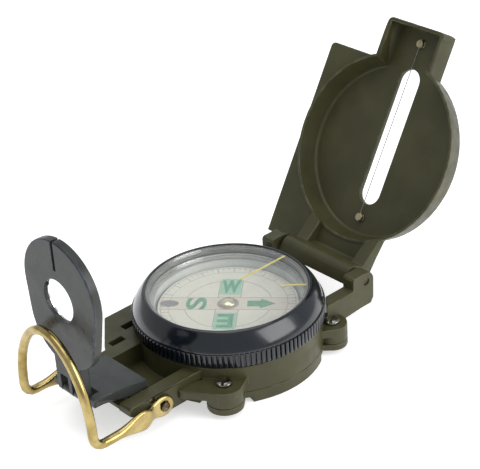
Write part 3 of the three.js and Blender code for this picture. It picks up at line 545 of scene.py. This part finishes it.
class Finishes:
    """Every finish of the compass and its floor, built once."""

    def __init__(self) -> None:
        """Builds the materials."""
        effects = Effects()

        def made(finish: Finish) -> Material:
            """Builds one finish with the shared effects."""
            return finish.material(effects)

        # The olive's paler edge colour is rubbed paint and partly a painted highlight.
        self.olive = made(Paint(
            "olive_paint", tone(60, 58, 35), tone(69, 67, 42), tone(98, 95, 72), (0.36, 0.5), depth=0.16,
        ))
        # The satin's bluish edge colour is mostly a painted blue highlight along its rounded edges, with a
        # little rubbed paint.
        self.satin = made(Paint(
            "black_satin", tone(46, 48, 46), tone(54, 56, 53), tone(80, 87, 104), (0.26, 0.36),
            grain=3200.0, sheen_and_wear=0.6,
        ))
        self.enamel = made(Enamel("black_enamel", tone(12, 18, 25), tone(66, 69, 70), (0.15, 0.22)))
        self.liner = made(Moulding("bezel_liner", tone(104, 104, 99), tone(90, 90, 86), (0.4, 0.55)))
        self.brass = made(Metal("polished_brass", tone(190, 171, 116), tone(152, 131, 78), (0.16, 0.28)))
        self.cap = made(Metal("polished_cap", tone(228, 218, 190), tone(190, 174, 132), (0.08, 0.16)))
        self.anchor = made(Metal("dull_anchor", tone(190, 180, 150), tone(150, 139, 108), (0.36, 0.5)))
        self.steel = made(Metal("plated_steel", tone(176, 174, 166), tone(120, 118, 110), (0.2, 0.34)))
        # Dark steel, its darkness partly painted shade for the pin and screw holes.
        self.dark_steel_and_hole_shade = made(Metal("dark_steel_and_hole_shade", tone(110, 100, 84), tone(70, 62, 50), (0.32, 0.46)))
        self.glass = made(Clear("clear_glass", (0.985, 0.99, 0.985)))
        self.bowl = made(
            Moulding("capsule_plastic", tone(186, 187, 181), tone(172, 174, 169), (0.3, 0.42)))
        self.seal = made(
            Moulding("clear_silicone", tone(140, 140, 135), tone(126, 126, 122), (0.4, 0.5)))
        self.card = made(
            DialPrint("dial_print", tone(190, 187, 174), tone(180, 168, 156), tone(70, 68, 66)))
        self.green = made(Ink("green_print", tone(44, 116, 80), tone(66, 134, 98)))
        self.pale_green = made(Ink("pale_green_print", tone(118, 164, 138), tone(132, 174, 148)))
        self.grey = made(Ink("grey_print", tone(90, 90, 94), tone(108, 108, 110)))
        self.yellow = made(Ink("luminous_yellow", tone(198, 184, 96), tone(212, 200, 124)))
        self.floor = made(Backdrop("pale_floor"))


class Maker:
    """Turns bmeshes into finished pieces that ride on a body."""

    CREASE = math.radians(28.0)
    STRAIGHT = math.radians(40.0)
    FLAT = math.radians(0.6)
    WELD = 0.002 * MM
    SPIN_WELD = 0.001 * MM
    SLIVER = 0.08 * MM
    ROOM = 2.2
    ROUNDED_SHARP = 50.0

    @staticmethod
    def piece(
        name: str, mesh: BMesh, body: Body, slot: Slot, materials: Sequence[Material], sharp: float = 40.0,
    ) -> Object:
        """Makes an object from a bmesh.

        Args:
            name: The piece's name.
            mesh: The finished bmesh, which is freed.
            body: The body that it rides on.
            slot: The record's material slot; not used.
            materials: Its materials, in the order that the faces name them.
            sharp: Edges over this many degrees stay sharp.

        Returns:
            The new object.
        """
        data = bpy.data.meshes.new(name)
        mesh.to_mesh(data)
        mesh.free()
        for material in materials:
            data.materials.append(material)
        data.polygons.foreach_set("use_smooth", [True] * len(data.polygons))
        data.set_sharp_from_angle(angle=math.radians(sharp))
        piece = placed(name, data)
        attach(piece, body.value)
        LOG.info("%s: %d faces on %s", name, len(data.polygons), body.value)
        return piece

    @classmethod
    def merged(cls, node: str) -> BMesh:
        """Returns a merged copy of a CAD node's mesh."""
        mesh = bmesh.new()
        mesh.from_mesh(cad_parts[node].data)
        bmesh.ops.remove_doubles(mesh, verts=mesh.verts, dist=cls.WELD)
        return mesh

    @classmethod
    def clean(cls, mesh: BMesh) -> None:
        """Closes up a mesh's slivers and joins its flat faces."""
        bmesh.ops.remove_doubles(mesh, verts=mesh.verts, dist=cls.SLIVER)
        bmesh.ops.dissolve_degenerate(mesh, dist=cls.SLIVER / 2, edges=mesh.edges)
        bmesh.ops.dissolve_limit(mesh, angle_limit=cls.FLAT, verts=mesh.verts, edges=mesh.edges)
        loose = [edge for edge in mesh.edges if not edge.link_faces]
        bmesh.ops.delete(mesh, geom=loose, context="EDGES")

    @classmethod
    def creases(cls, mesh: BMesh, width: float) -> list[bmesh.types.BMEdge]:
        """Finds the creases that have room to be rounded.

        Args:
            mesh: The mesh.
            width: The rounding's width in millimetres.

        Returns:
            The edges.
        """
        sharp = {
            edge for edge in mesh.edges
            if len(edge.link_faces) == 2 and edge.calc_face_angle(0.0) > cls.CREASE
        }
        cramped = set()
        for vert in mesh.verts:
            own = [edge for edge in vert.link_edges if edge in sharp]
            ways = [edge.other_vert(vert).co - vert.co for edge in own]
            runs_on = len(own) == 2 and ways[0].angle(-ways[1], math.pi) < cls.STRAIGHT
            others = [edge for edge in vert.link_edges if not (runs_on and edge in sharp)]
            if any(edge.calc_length() < cls.ROOM * width * MM for edge in others):
                cramped.add(vert)
        return [edge for edge in sharp if cramped.isdisjoint(edge.verts)]

    @staticmethod
    def united(mesh: BMesh, additions: Iterable[BMesh]) -> BMesh:
        """Joins closed shapes to a closed mesh.

        Args:
            mesh: The mesh that grows, which is freed where it does.
            additions: The shapes that join it, which are freed.

        Returns:
            The joined mesh.
        """
        for addition in additions:
            holders = []
            for shape in (mesh, addition):
                data = bpy.data.meshes.new("joining")
                shape.to_mesh(data)
                shape.free()
                holders.append(placed("joining", data))
            union = holders[0].modifiers.new("union", "BOOLEAN")
            union.operation = "UNION"
            union.solver = "EXACT"
            union.object = holders[1]
            bpy.context.view_layer.update()
            whole = holders[0].evaluated_get(bpy.context.evaluated_depsgraph_get())
            mesh = bmesh.new()
            mesh.from_mesh(whole.to_mesh())
            for holder in holders:
                data = holder.data
                bpy.data.objects.remove(holder)
                bpy.data.meshes.remove(data)
        return mesh

    @classmethod
    def softened(
        cls, node: str, body: Body, slot: Slot, material: Material, width: float,
        additions: Sequence[BMesh] = (),
    ) -> Object:
        """Stands a copy with rounded edges in for a CAD node.

        Args:
            node: The CAD node.
            body: The body that it belongs to.
            slot: The record's material slot.
            material: The finish.
            width: The rounding's width in millimetres.
            additions: Closed shapes that are cast in one with it, which are freed.

        Returns:
            The new object.
        """
        mesh = cls.united(cls.merged(node), additions)
        cls.clean(mesh)
        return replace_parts(cls.rounded(f"{node}_finish", mesh, body, slot, material, width), node)

    @classmethod
    def rounded(
        cls, name: str, mesh: BMesh, body: Body, slot: Slot, material: Material, width: float,
    ) -> Object:
        """Makes a piece with rounded edges, which a face attribute marks for wear and a painted edge
        highlight.

        Args:
            name: The piece's name.
            mesh: The mesh, which is freed.
            body: The body that it belongs to.
            slot: The record's material slot.
            material: The finish.
            width: The rounding's width in millimetres.

        Returns:
            The new object.
        """
        layer = mesh.faces.layers.float.new("edge")
        made = bmesh.ops.bevel(
            mesh, geom=cls.creases(mesh, width), offset=width * MM, offset_type="OFFSET", segments=2,
            profile=0.5, affect="EDGES", clamp_overlap=False, material=-1,
        )
        for face in made["faces"]:
            bend = sum(edge.calc_face_angle_signed(0.0) for edge in face.edges)
            face[layer] = 1.0 if bend > 0 else 0.0
        piece = cls.piece(name, mesh, body, slot, [material], cls.ROUNDED_SHARP)
        normals = piece.modifiers.new("even_faces", "WEIGHTED_NORMAL")
        normals.keep_sharp = True
        return piece

    @classmethod
    def spun(cls, profile: Sequence[Pair], steps: int) -> BMesh:
        """Spins a closed profile round the dial's axis.

        Args:
            profile: Pairs of radius and height in millimetres.
            steps: The number of steps in the full turn.

        Returns:
            The merged mesh with its normals outward.
        """
        mesh = bmesh.new()
        verts = [mesh.verts.new((radius * MM, 0.0, height * MM)) for radius, height in profile]
        edges = [mesh.edges.new(pair) for pair in zip(verts, verts[1:] + verts[:1])]
        bmesh.ops.spin(
            mesh, geom=verts + edges, cent=(0, 0, 0), axis=(0, 0, 1), angle=2 * math.pi, steps=steps,
            use_merge=True,
        )
        bmesh.ops.remove_doubles(mesh, verts=mesh.verts, dist=cls.SPIN_WELD)
        bmesh.ops.recalc_face_normals(mesh, faces=mesh.faces)
        return mesh

    @staticmethod
    def slab(outline: Sequence[Pair], bottom: float, top: float) -> BMesh:
        """Raises a flat outline into a thin slab.

        Args:
            outline: Corners in millimetres, in order.
            bottom: The lower height in millimetres.
            top: The upper height in millimetres.

        Returns:
            The closed mesh.
        """
        mesh = bmesh.new()
        face = mesh.faces.new([mesh.verts.new((x * MM, y * MM, bottom * MM)) for x, y in outline])
        grown = bmesh.ops.extrude_face_region(mesh, geom=[face])["geom"]
        lifted = [item for item in grown if isinstance(item, bmesh.types.BMVert)]
        bmesh.ops.translate(mesh, verts=lifted, vec=(0, 0, (top - bottom) * MM))
        bmesh.ops.recalc_face_normals(mesh, faces=mesh.faces)
        return mesh

    @classmethod
    def across(cls, outline: Sequence[Pair], near: float, far: float) -> BMesh:
        """Raises a side outline into a slab across the compass.

        Args:
            outline: Corners as pairs of X and Z in millimetres, in order.
            near: The nearer Y in millimetres.
            far: The farther Y in millimetres.

        Returns:
            The closed mesh.
        """
        mesh = cls.slab(outline, -far, -near)
        upright = Matrix.Rotation(math.pi / 2, 3, "X")
        bmesh.ops.rotate(mesh, verts=mesh.verts, cent=(0, 0, 0), matrix=upright)
        return mesh

    @staticmethod
    def dress(nodes: Iterable[str], material: Material) -> None:
        """Gives CAD nodes a finish."""
        for node in nodes:
            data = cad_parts[node].data
            data.materials.clear()
            data.materials.append(material)
            LOG.info("%s: %s", node, material.name)


@dataclass
class SubAssembly:
    """A group of pieces that is built together."""

    finishes: Finishes

    def build(self) -> None:
        """Builds and dresses the pieces."""
        raise NotImplementedError


@dataclass(frozen=True)
class HingeArm:
    """A raised arm cast round one hinge lug, drilled for the pin.

    Sizes are in millimetres, and the toe's two values are shares of the radius.
    """

    side: str
    span: Pair
    foot: float
    rear_foot: float = 5.66
    toe: Pair = (0.6, 0.95)
    toe_rise: float = 1.45
    head: float = 27.6
    corner: float = 0.6
    arm_top: float = 12.6
    radius: float = 2.64
    pin_play: float = 0.05
    bezel_clearance: float = 25.4
    steps: int = 12

    def mesh(self) -> BMesh:
        """Builds the arm from a lower and an upper half that meet at the pin's height.

        Returns:
            The closed mesh.
        """
        low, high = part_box("hinge_pin")
        x, z = centre = axis_of("hinge_pin")
        bore = (high.z - low.z) / 2 / MM + self.pin_play
        quarter = arc(centre, self.radius, 0.0, 90.0, self.steps)
        over = arc(centre, bore, 0.0, 180.0, self.steps)
        under = arc(centre, bore, 0.0, -180.0, self.steps)[1:-1]
        crown = quarter[-1][1]
        rear = (self.head, z)
        toe_start, toe_end = (x + share * self.radius for share in self.toe)
        lower = [
            (0.0, self.rear_foot), (x - self.radius, self.foot), (toe_start, self.foot),
            (toe_end, self.foot + self.toe_rise), quarter[0], over[0], *under, over[-1], rear,
            (self.head, self.arm_top), (0.0, self.arm_top),
        ]
        upper = [
            *quarter, (self.head + self.corner, crown), (self.head, crown - self.corner), rear,
            *reversed(over),
        ]
        near, far = self.span
        mesh = bmesh.new()
        verts = {
            point: mesh.verts.new((point[0] * MM, near * MM, point[1] * MM))
            for point in dict.fromkeys(lower + upper)
        }
        faces = [mesh.faces.new([verts[point] for point in outline]) for outline in (lower, upper)]
        grown = bmesh.ops.extrude_face_region(mesh, geom=faces)["geom"]
        lifted = [item for item in grown if isinstance(item, bmesh.types.BMVert)]
        bmesh.ops.translate(mesh, verts=lifted, vec=(0, (far - near) * MM, 0))
        for vert in mesh.verts:
            bezel = math.sqrt((self.bezel_clearance * MM) ** 2 - vert.co.y ** 2)
            vert.co.x = max(vert.co.x, bezel)
        bmesh.ops.recalc_face_normals(mesh, faces=mesh.faces)
        return mesh


@dataclass
class Base(SubAssembly):
    """The housing with its rear web and hinge arms, its bottom plate and the screws."""

    rounding: float = 0.2
    screw_rounding: float = 0.1
    web_half: float = 8.3
    web_ends: Pair = (-43.0, -23.0)
    web_underside: Pair = (3.45, 7.8)
    web_step: float = 9.0
    arm_clearance: float = 4.4
    hollow_steps: int = 8
    arms: tuple[HingeArm, ...] = (
        HingeArm("near", (-18.04, -14.16), 6.31),
        HingeArm("far", (12.76, 16.64), 7.21),
    )

    def build(self) -> None:
        """Rounds the castings and dresses the screws and pins."""
        olive, steel = self.finishes.olive, self.finishes.steel
        Maker.softened("base_housing", Body.BASE, Slot.OLIVE, olive, self.rounding, [self._web()])
        for arm in self.arms:
            name = f"hinge_arm_{arm.side}"
            Maker.rounded(name, arm.mesh(), Body.BASE, Slot.OLIVE, olive, self.rounding)
        Maker.softened("bottom_plate", Body.BASE, Slot.OLIVE, olive, self.rounding)
        for corner in ("near_rear", "near_front", "far_rear", "far_front"):
            Maker.softened(f"ear_screw_{corner}", Body.BASE, Slot.STEEL, steel, self.screw_rounding)
        Maker.dress(("lens_arm_pin", "pivot_pin", "bezel_retaining_ring"), steel)
        # The hinge pin is dark so that the lug's pin hole shows painted shade.
        Maker.dress(("hinge_pin",), self.finishes.dark_steel_and_hole_shade)

    def _web(self) -> BMesh:
        """The floor that joins the rear forks, hollowed under the lens arm's barrel."""
        x, z = centre = axis_of("lens_arm_pin")
        end, root = self.web_ends
        foot, lip = self.web_underside
        hollow = arc(centre, self.arm_clearance, 180.0, 270.0, self.hollow_steps)
        outline = [
            (root, foot), (root, z - self.arm_clearance), *reversed(hollow),
            (hollow[0][0], self.web_step), (end, self.web_step), (end, lip), (x, foot),
        ]
        return Maker.across(outline, -self.web_half, self.web_half)


@dataclass
class Capsule(SubAssembly):
    """The bowl with its seal and window."""

    def build(self) -> None:
        """Dresses the capsule's pieces."""
        Maker.dress(("capsule_bowl",), self.finishes.bowl)
        Maker.dress(("capsule_seal",), self.finishes.seal)
        Maker.dress(("capsule_window",), self.finishes.glass)


@dataclass(frozen=True)
class Letter:
    """One printed letter: its bearing from north in degrees and its size in millimetres."""

    text: str
    heading: float
    width: float
    height: float
    weight: float = 0.025


@dataclass
class Dial(SubAssembly):
    """The card with its print, and the magnet and cap that turn with it."""

    letters: tuple[Letter, ...] = (
        Letter("S", 180.0, 5.6, 5.3),
        Letter("W", 90.0, 4.9, 6.2, 0.05),
        Letter("E", -90.0, 4.2, 6.2),
    )
    letter_radius: float = 8.2
    letter_lift: float = 1.4
    form_depth: float = 0.01
    form_weld: float = 1e-5
    card_bore: float = 1.45
    card_chamfer: float = 0.1
    card_steps: int = 144
    cap_rounding: float = 0.15
    panel_half: float = 2.75
    panel_ends: Pair = (4.4, 12.0)
    arrow_stations: Triple = (5.0, 8.4, 12.2)
    arrow_halves: Pair = (1.35, 2.3)
    tail_centre: float = -15.3
    tail_halves: Pair = (2.5, 1.5)
    tail_steps: int = 24
    print_height: float = 0.05

    def build(self) -> None:
        """Builds the card, the panels, the letters, the arrow and the tail."""
        low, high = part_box("dial_card")
        radius, bottom, top = high.x / MM, low.z / MM, self.top
        bore, cut = self.card_bore, self.card_chamfer
        mesh = Maker.spun([
            (bore, bottom), (radius - cut, bottom), (radius, bottom + cut), (radius, top - cut),
            (radius - cut, top), (bore, top),
        ], self.card_steps)
        card = Maker.piece("dial_card_face", mesh, Body.DIAL, Slot.CARD, [self.finishes.card])
        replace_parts(card, "dial_card")
        panel = strip(*self.panel_ends, self.panel_half)
        for name, heading in (("panel_west", 90.0), ("panel_east", -90.0)):
            self._lay(name, panel, self.finishes.pale_green, heading)
        for letter in self.letters:
            self._letter(letter)
        self._lay("north_arrow", self._arrow(), self.finishes.green)
        self._lay("south_tail", self._tail(), self.finishes.grey)
        Maker.dress(("dial_magnet",), self.finishes.steel)
        Maker.softened("jewel_cap", Body.DIAL, Slot.BRASS, self.finishes.cap, self.cap_rounding)

    @property
    def top(self) -> float:
        """The card's upper face in millimetres."""
        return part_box("dial_card")[1].z / MM

    @staticmethod
    def _print(name: str, mesh: BMesh, material: Material, heading: float) -> None:
        """Turns a mesh from +X to its bearing in degrees from the dial's north, and prints it."""
        turn = Matrix.Rotation(NORTH + math.radians(heading), 4, "Z")
        bmesh.ops.transform(mesh, matrix=turn, verts=mesh.verts)
        Maker.piece(name, mesh, Body.DIAL, Slot.CARD, [material])

    def _lay(self, name: str, outline: list[Pair], material: Material, heading: float = 0.0) -> None:
        """Prints a flat outline on the card."""
        mesh = Maker.slab(outline, self.top, self.top + self.print_height)
        self._print(name, mesh, material, heading)

    def _letter(self, letter: Letter) -> None:
        """Sets one letter with its top outward.

        Args:
            letter: The letter with its bearing and size.
        """
        curve = bpy.data.curves.new("letter_form", "FONT")
        curve.body = letter.text
        curve.size = 1.0
        curve.offset = letter.weight
        curve.extrude = self.form_depth
        curve.resolution_u = 6
        holder = placed("letter_form", curve)
        bpy.context.view_layer.update()
        formed = holder.evaluated_get(bpy.context.evaluated_depsgraph_get())
        shape = bpy.data.meshes.new_from_object(formed)
        bpy.data.objects.remove(holder)
        bpy.data.curves.remove(curve)
        mesh = bmesh.new()
        mesh.from_mesh(shape)
        bpy.data.meshes.remove(shape)
        bmesh.ops.remove_doubles(mesh, verts=mesh.verts, dist=self.form_weld)
        xs = [vert.co.x for vert in mesh.verts]
        ys = [vert.co.y for vert in mesh.verts]
        middle = Vector(((min(xs) + max(xs)) / 2, (min(ys) + max(ys)) / 2, 0))
        bmesh.ops.translate(mesh, verts=mesh.verts, vec=-middle)
        wide = letter.width * MM / (max(xs) - min(xs))
        tall = letter.height * MM / (max(ys) - min(ys))
        thick = self.print_height * MM / (2 * self.form_depth)
        bmesh.ops.scale(mesh, verts=mesh.verts, vec=(wide, tall, thick))
        outward = Matrix.Rotation(-math.pi / 2, 4, "Z")
        bmesh.ops.transform(mesh, matrix=outward, verts=mesh.verts)
        lift = (self.top + self.letter_lift * self.print_height) * MM
        bmesh.ops.translate(mesh, verts=mesh.verts, vec=(self.letter_radius * MM, 0, lift))
        self._print(f"letter_{letter.text.lower()}", mesh, self.finishes.green, letter.heading)

    def _arrow(self) -> list[Pair]:
        """The north arrow's corners."""
        start, neck, tip = self.arrow_stations
        shaft, head = self.arrow_halves
        side = [(start, shaft), (neck, shaft), (neck, head)]
        return [(x, -y) for x, y in side] + [(tip, 0.0)] + side[::-1]

    def _tail(self) -> list[Pair]:
        """The corners of the oval at the bar's south end."""
        long, short = self.tail_halves
        angles = [2 * math.pi * step / self.tail_steps for step in range(self.tail_steps)]
        return [(self.tail_centre + long * math.cos(turn), short * math.sin(turn)) for turn in angles]


@dataclass(frozen=True)
class Line:
    """One luminous line: its heading in degrees, its inner radius and its gap to the lip."""

    name: str
    heading: float
    start: float
    gap: float


@dataclass
class Bezel(SubAssembly):
    """The turning ring with its ribs, glass and luminous lines."""

    steps: int = 180
    sharp: float = 32.0
    glass_gap: float = 0.12
    liner_reach: float = 0.02
    liner_drop: float = 2.4
    grip_height: float = 3.8
    ribs: int = 116
    rib_ends: Pair = (0.2, 3.75)
    rib_half: float = 0.5
    rib_depth: float = 0.4
    rib_rounding: float = 0.26
    line_width: float = 0.6
    line_height: float = 0.06
    lines: tuple[Line, ...] = (
        Line("long_line", 0.0, 4.8, 0.35),
        Line("short_line", -45.5, 13.7, 0.6),
    )

    def build(self) -> None:
        """Builds the ring with its ribs, and lays the lines on the glass."""
        low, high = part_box("bezel_ring")
        bottom, top, outer = low.z / MM, high.z / MM, high.x / MM
        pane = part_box("bezel_glass")[1]
        inner = pane.x / MM + self.glass_gap
        mesh = Maker.spun(self._profile(bottom, top, outer, inner), self.steps)
        for face in mesh.faces:
            centre = face.calc_center_median()
            inside = math.hypot(centre.x, centre.y) < (inner + self.liner_reach) * MM
            face.material_index = 1 if inside and centre.z > (top - self.liner_drop) * MM else 0
        foot, crest = self.rib_ends
        self._add_ribs(mesh, bottom + foot, bottom + crest, outer)
        ring = Maker.piece(
            "bezel_ring_finish", mesh, Body.BEZEL, Slot.ENAMEL,
            [self.finishes.enamel, self.finishes.liner], self.sharp,
        )
        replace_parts(ring, "bezel_ring")
        Maker.dress(("bezel_glass",), self.finishes.glass)
        for line in self.lines:
            self._line(line, inner - line.gap, pane.z / MM)

    def _profile(self, bottom: float, top: float, outer: float, inner: float) -> list[Pair]:
        """The ring's section, from the bore's foot round the outside.

        Args:
            bottom: The ring's underside.
            top: The lip's top.
            outer: The grip's radius.
            inner: The lip's inner radius.

        Returns:
            Pairs of radius and height in millimetres.
        """
        grip = bottom + self.grip_height
        return [
            (inner + 0.65, bottom), (outer - 1.0, bottom), (outer - 0.55, bottom + 0.2),
            (outer - 0.5, grip - 0.2), (outer - 0.46, grip), (outer - 0.44, grip + 0.12),
            (outer - 0.52, grip + 0.4), (outer - 0.8, grip + 1.2), (outer - 1.3, grip + 2.2),
            (outer - 1.95, grip + 3.2), (outer - 2.6, grip + 4.05), (outer - 3.05, top - 0.42),
            (outer - 3.3, top - 0.18), (outer - 3.55, top - 0.04), (inner + 0.3, top),
            (inner + 0.08, top - 0.06), (inner, top - 0.25), (inner, top - 1.45),
            (inner - 1.0, top - 1.45), (inner - 1.0, top - 2.25), (inner + 0.65, top - 2.25),
        ]

    def _add_ribs(self, mesh: BMesh, bottom: float, top: float, outer: float) -> None:
        """Adds the grip's ribs to the ring.

        Args:
            mesh: The ring's bmesh.
            bottom: The ribs' lower end.
            top: Their upper end.
            outer: The radius of their crests.
        """
        rib = bmesh.new()
        bmesh.ops.create_cube(rib, size=1.0)
        size = (self.rib_depth * MM, 2 * self.rib_half * MM, (top - bottom) * MM)
        bmesh.ops.scale(rib, verts=rib.verts, vec=size)
        crest = [edge for edge in rib.edges if all(vert.co.x > 0 for vert in edge.verts)]
        bmesh.ops.bevel(
            rib, geom=crest, offset=self.rib_rounding * MM, offset_type="OFFSET", segments=2,
            profile=0.5, affect="EDGES", material=-1,
        )
        place = ((outer - self.rib_depth / 2) * MM, 0, (bottom + top) / 2 * MM)
        bmesh.ops.translate(rib, verts=rib.verts, vec=place)
        turn = Matrix.Rotation(2 * math.pi / self.ribs, 3, "Z")
        data = bpy.data.meshes.new("rib")
        for _ in range(self.ribs):
            rib.to_mesh(data)
            mesh.from_mesh(data)
            bmesh.ops.rotate(rib, verts=rib.verts, cent=(0, 0, 0), matrix=turn)
        rib.free()
        bpy.data.meshes.remove(data)

    def _line(self, line: Line, end: float, height: float) -> None:
        """Lays one luminous line on the glass, out to a radius and at the glass's height."""
        outline = strip(line.start, end, self.line_width / 2)
        mesh = Maker.slab(outline, height, height + self.line_height)
        turn = Matrix.Rotation(math.radians(line.heading), 4, "Z")
        bmesh.ops.transform(mesh, matrix=turn, verts=mesh.verts)
        Maker.piece(line.name, mesh, Body.BEZEL, Slot.CLEAR, [self.finishes.yellow])


@dataclass
class Cover(SubAssembly):
    """The hinged cover with its sighting wire."""

    rounding: float = 0.28
    anchor_rounding: float = 0.1
    wire_share: float = 0.5
    opening: float = math.radians(59.5)
    bar_span: Pair = (-13.0, 11.6)
    bar_half: float = 2.62
    bar_drop: float = 2.8
    bar_bore: float = 1.7
    bore_steps: int = 8

    def build(self) -> None:
        """Rounds the casting and dresses the wire and its anchors."""
        olive, anchor = self.finishes.olive, self.finishes.anchor
        Maker.softened("cover_shell", Body.COVER, Slot.OLIVE, olive, self.rounding, [self._bar()])
        for end in ("lower", "upper"):
            Maker.softened(f"wire_anchor_{end}", Body.COVER, Slot.OLIVE, anchor, self.anchor_rounding)
        self._wire()

    def _bar(self) -> BMesh:
        """The square lower half of the hinge bar, hollowed round the pin."""
        x, z = axis_of("hinge_pin")
        half, drop = self.bar_half, self.bar_drop
        section = [(0.0, half), (-drop, half), (-drop, -half), (0.0, -half)]
        section += arc((0.0, 0.0), self.bar_bore, 270.0, 90.0, self.bore_steps)
        ahead, aside = math.cos(self.opening), math.sin(self.opening)
        outline = [
            (x + out * ahead - inward * aside, z + out * aside + inward * ahead)
            for out, inward in section
        ]
        return Maker.across(outline, *self.bar_span)

    def _wire(self) -> None:
        """Draws the sighting wire out to a hair."""
        low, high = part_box("sight_wire")
        run = Vector((high.x - low.x, 0.0, high.z - low.z))
        along = Matrix.Translation((low + high) / 2) @ run.to_track_quat("Z", "Y").to_matrix().to_4x4()
        thin = Matrix.Diagonal((self.wire_share, self.wire_share, 1.0, 1.0))
        mesh = Maker.merged("sight_wire")
        bmesh.ops.transform(mesh, matrix=along @ thin @ along.inverted(), verts=mesh.verts)
        wire = Maker.piece("sight_wire_finish", mesh, Body.COVER, Slot.STEEL, [self.finishes.steel])
        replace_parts(wire, "sight_wire")


@dataclass
class LensBracket(SubAssembly):
    """The folding arm with the lens plate."""

    rounding: float = 0.15

    def build(self) -> None:
        """Rounds the arm and the plate and dresses the lens."""
        satin = self.finishes.satin
        Maker.softened("lens_arm", Body.LENS_ARM, Slot.SATIN, satin, self.rounding)
        Maker.softened("lens_plate", Body.LENS_PLATE, Slot.SATIN, satin, self.rounding)
        Maker.dress(("lens_plate_pin",), self.finishes.steel)
        Maker.dress(("lens",), self.finishes.glass)


@dataclass
class ThumbLoop(SubAssembly):
    """The brass loop and its screws."""

    sharp: float = 45.0
    screw_share: float = 0.78
    screw_rounding: float = 0.08

    def build(self) -> None:
        """Smooths the loop's wire and dresses the screws."""
        mesh = Maker.merged("thumb_loop")
        brass = [self.finishes.brass]
        loop = Maker.piece("thumb_loop_finish", mesh, Body.LOOP, Slot.BRASS, brass, self.sharp)
        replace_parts(loop, "thumb_loop")
        slim = Matrix.Diagonal((self.screw_share, 1.0, self.screw_share, 1.0))
        for side in ("near", "far"):
            node = f"loop_screw_{side}"
            # The loop screws are dark, partly painted shade in their holes.
            steel = self.finishes.dark_steel_and_hole_shade
            screw = Maker.softened(node, Body.BASE, Slot.STEEL, steel, self.screw_rounding)
            low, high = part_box(node)
            centre = (low + high) / 2
            screw.data.transform(Matrix.Translation(centre) @ slim @ Matrix.Translation(-centre))


@dataclass(frozen=True)
class Lamp:
    """A soft box: its place and size in metres, its power in watts, its colour and its aim."""

    name: str
    place: Triple
    size: Pair
    power: float
    colour: Triple = (1.0, 1.0, 1.0)
    aim: Triple = (0.01, 0.0, 0.02)

    def hang(self) -> None:
        """Hangs the soft box so that it faces the compass."""
        data = bpy.data.lights.new(self.name, "AREA")
        data.shape = "RECTANGLE"
        data.size, data.size_y = self.size
        data.energy = self.power
        data.color = self.colour
        lamp = placed(self.name, data)
        lamp.location = self.place
        way = Vector(self.aim) - lamp.location
        lamp.rotation_euler = way.to_track_quat("-Z", "Y").to_euler()


@dataclass
class Studio(SubAssembly):
    """The camera, the lamps and the pale floor."""

    azimuth: float = math.radians(-40.49)
    elevation: float = math.radians(29.65)
    roll: float = math.radians(-3.99)
    distance: float = 450.63
    target: Triple = (31.18, 29.9, 10.0)
    lens: float = 120.0
    sensor: float = 36.0
    clip_start: float = 0.02
    floor_size: float = 3.0
    floor_drop: float = 0.05
    room: Triple = (0.95, 0.98, 1.0)
    room_strength: float = 0.56
    lamps: tuple[Lamp, ...] = (
        Lamp("key", (0.2, -0.52, 0.3), (0.42, 0.4), 2.2),
        Lamp("top", (0.0, 0.0, 0.7), (0.6, 0.6), 1.8),
        Lamp("back", (0.42, 0.48, 0.36), (0.5, 0.3), 0.2, (0.84, 0.92, 1.0)),
    )

    def build(self) -> None:
        """Sets up the whole studio."""
        self._camera()
        self._floor()
        self._world()
        for lamp in self.lamps:
            lamp.hang()
        bpy.context.scene.view_settings.view_transform = "Standard"

    def _camera(self) -> None:
        """Places the camera at the photograph's angle, turned about its target."""
        data = bpy.data.cameras.new("camera")
        data.lens = self.lens
        data.sensor_width = self.sensor
        data.sensor_fit = "HORIZONTAL"
        data.clip_start = self.clip_start
        camera = placed("camera", data)
        turn = (
            Matrix.Rotation(self.azimuth, 4, "Z")
            @ Matrix.Rotation(math.pi / 2 - self.elevation, 4, "X")
            @ Matrix.Rotation(self.roll, 4, "Z")
        )
        target = Matrix.Translation(Vector(self.target) * MM)
        camera.matrix_world = target @ turn @ Matrix.Translation((0.0, 0.0, self.distance * MM))
        bpy.context.scene.camera = camera

    def _floor(self) -> None:
        """Lays the pale floor a hair below the compass."""
        mesh = bmesh.new()
        bmesh.ops.create_grid(mesh, x_segments=1, y_segments=1, size=self.floor_size)
        bmesh.ops.translate(mesh, verts=mesh.verts, vec=(0, 0, -self.floor_drop * MM))
        data = bpy.data.meshes.new("floor")
        mesh.to_mesh(data)
        mesh.free()
        data.materials.append(self.finishes.floor)
        floor = placed("floor", data)

    def _world(self) -> None:
        """Fills the room with soft light."""
        world = bpy.data.worlds.new("room")
        world.use_nodes = True
        shade = world.node_tree.nodes["Background"]
        shade.inputs["Color"].default_value = (*self.room, 1.0)
        shade.inputs["Strength"].default_value = self.room_strength
        bpy.context.scene.world = world


def main() -> None:
    """Builds the studio, then every sub-assembly in order."""
    logging.basicConfig(level=logging.INFO, format="%(message)s")
    finishes = Finishes()
    for assembly in (Studio, Base, Capsule, Dial, Bezel, Cover, LensBracket, ThumbLoop):
        assembly(finishes).build()


if __name__ == "__main__":
    main()
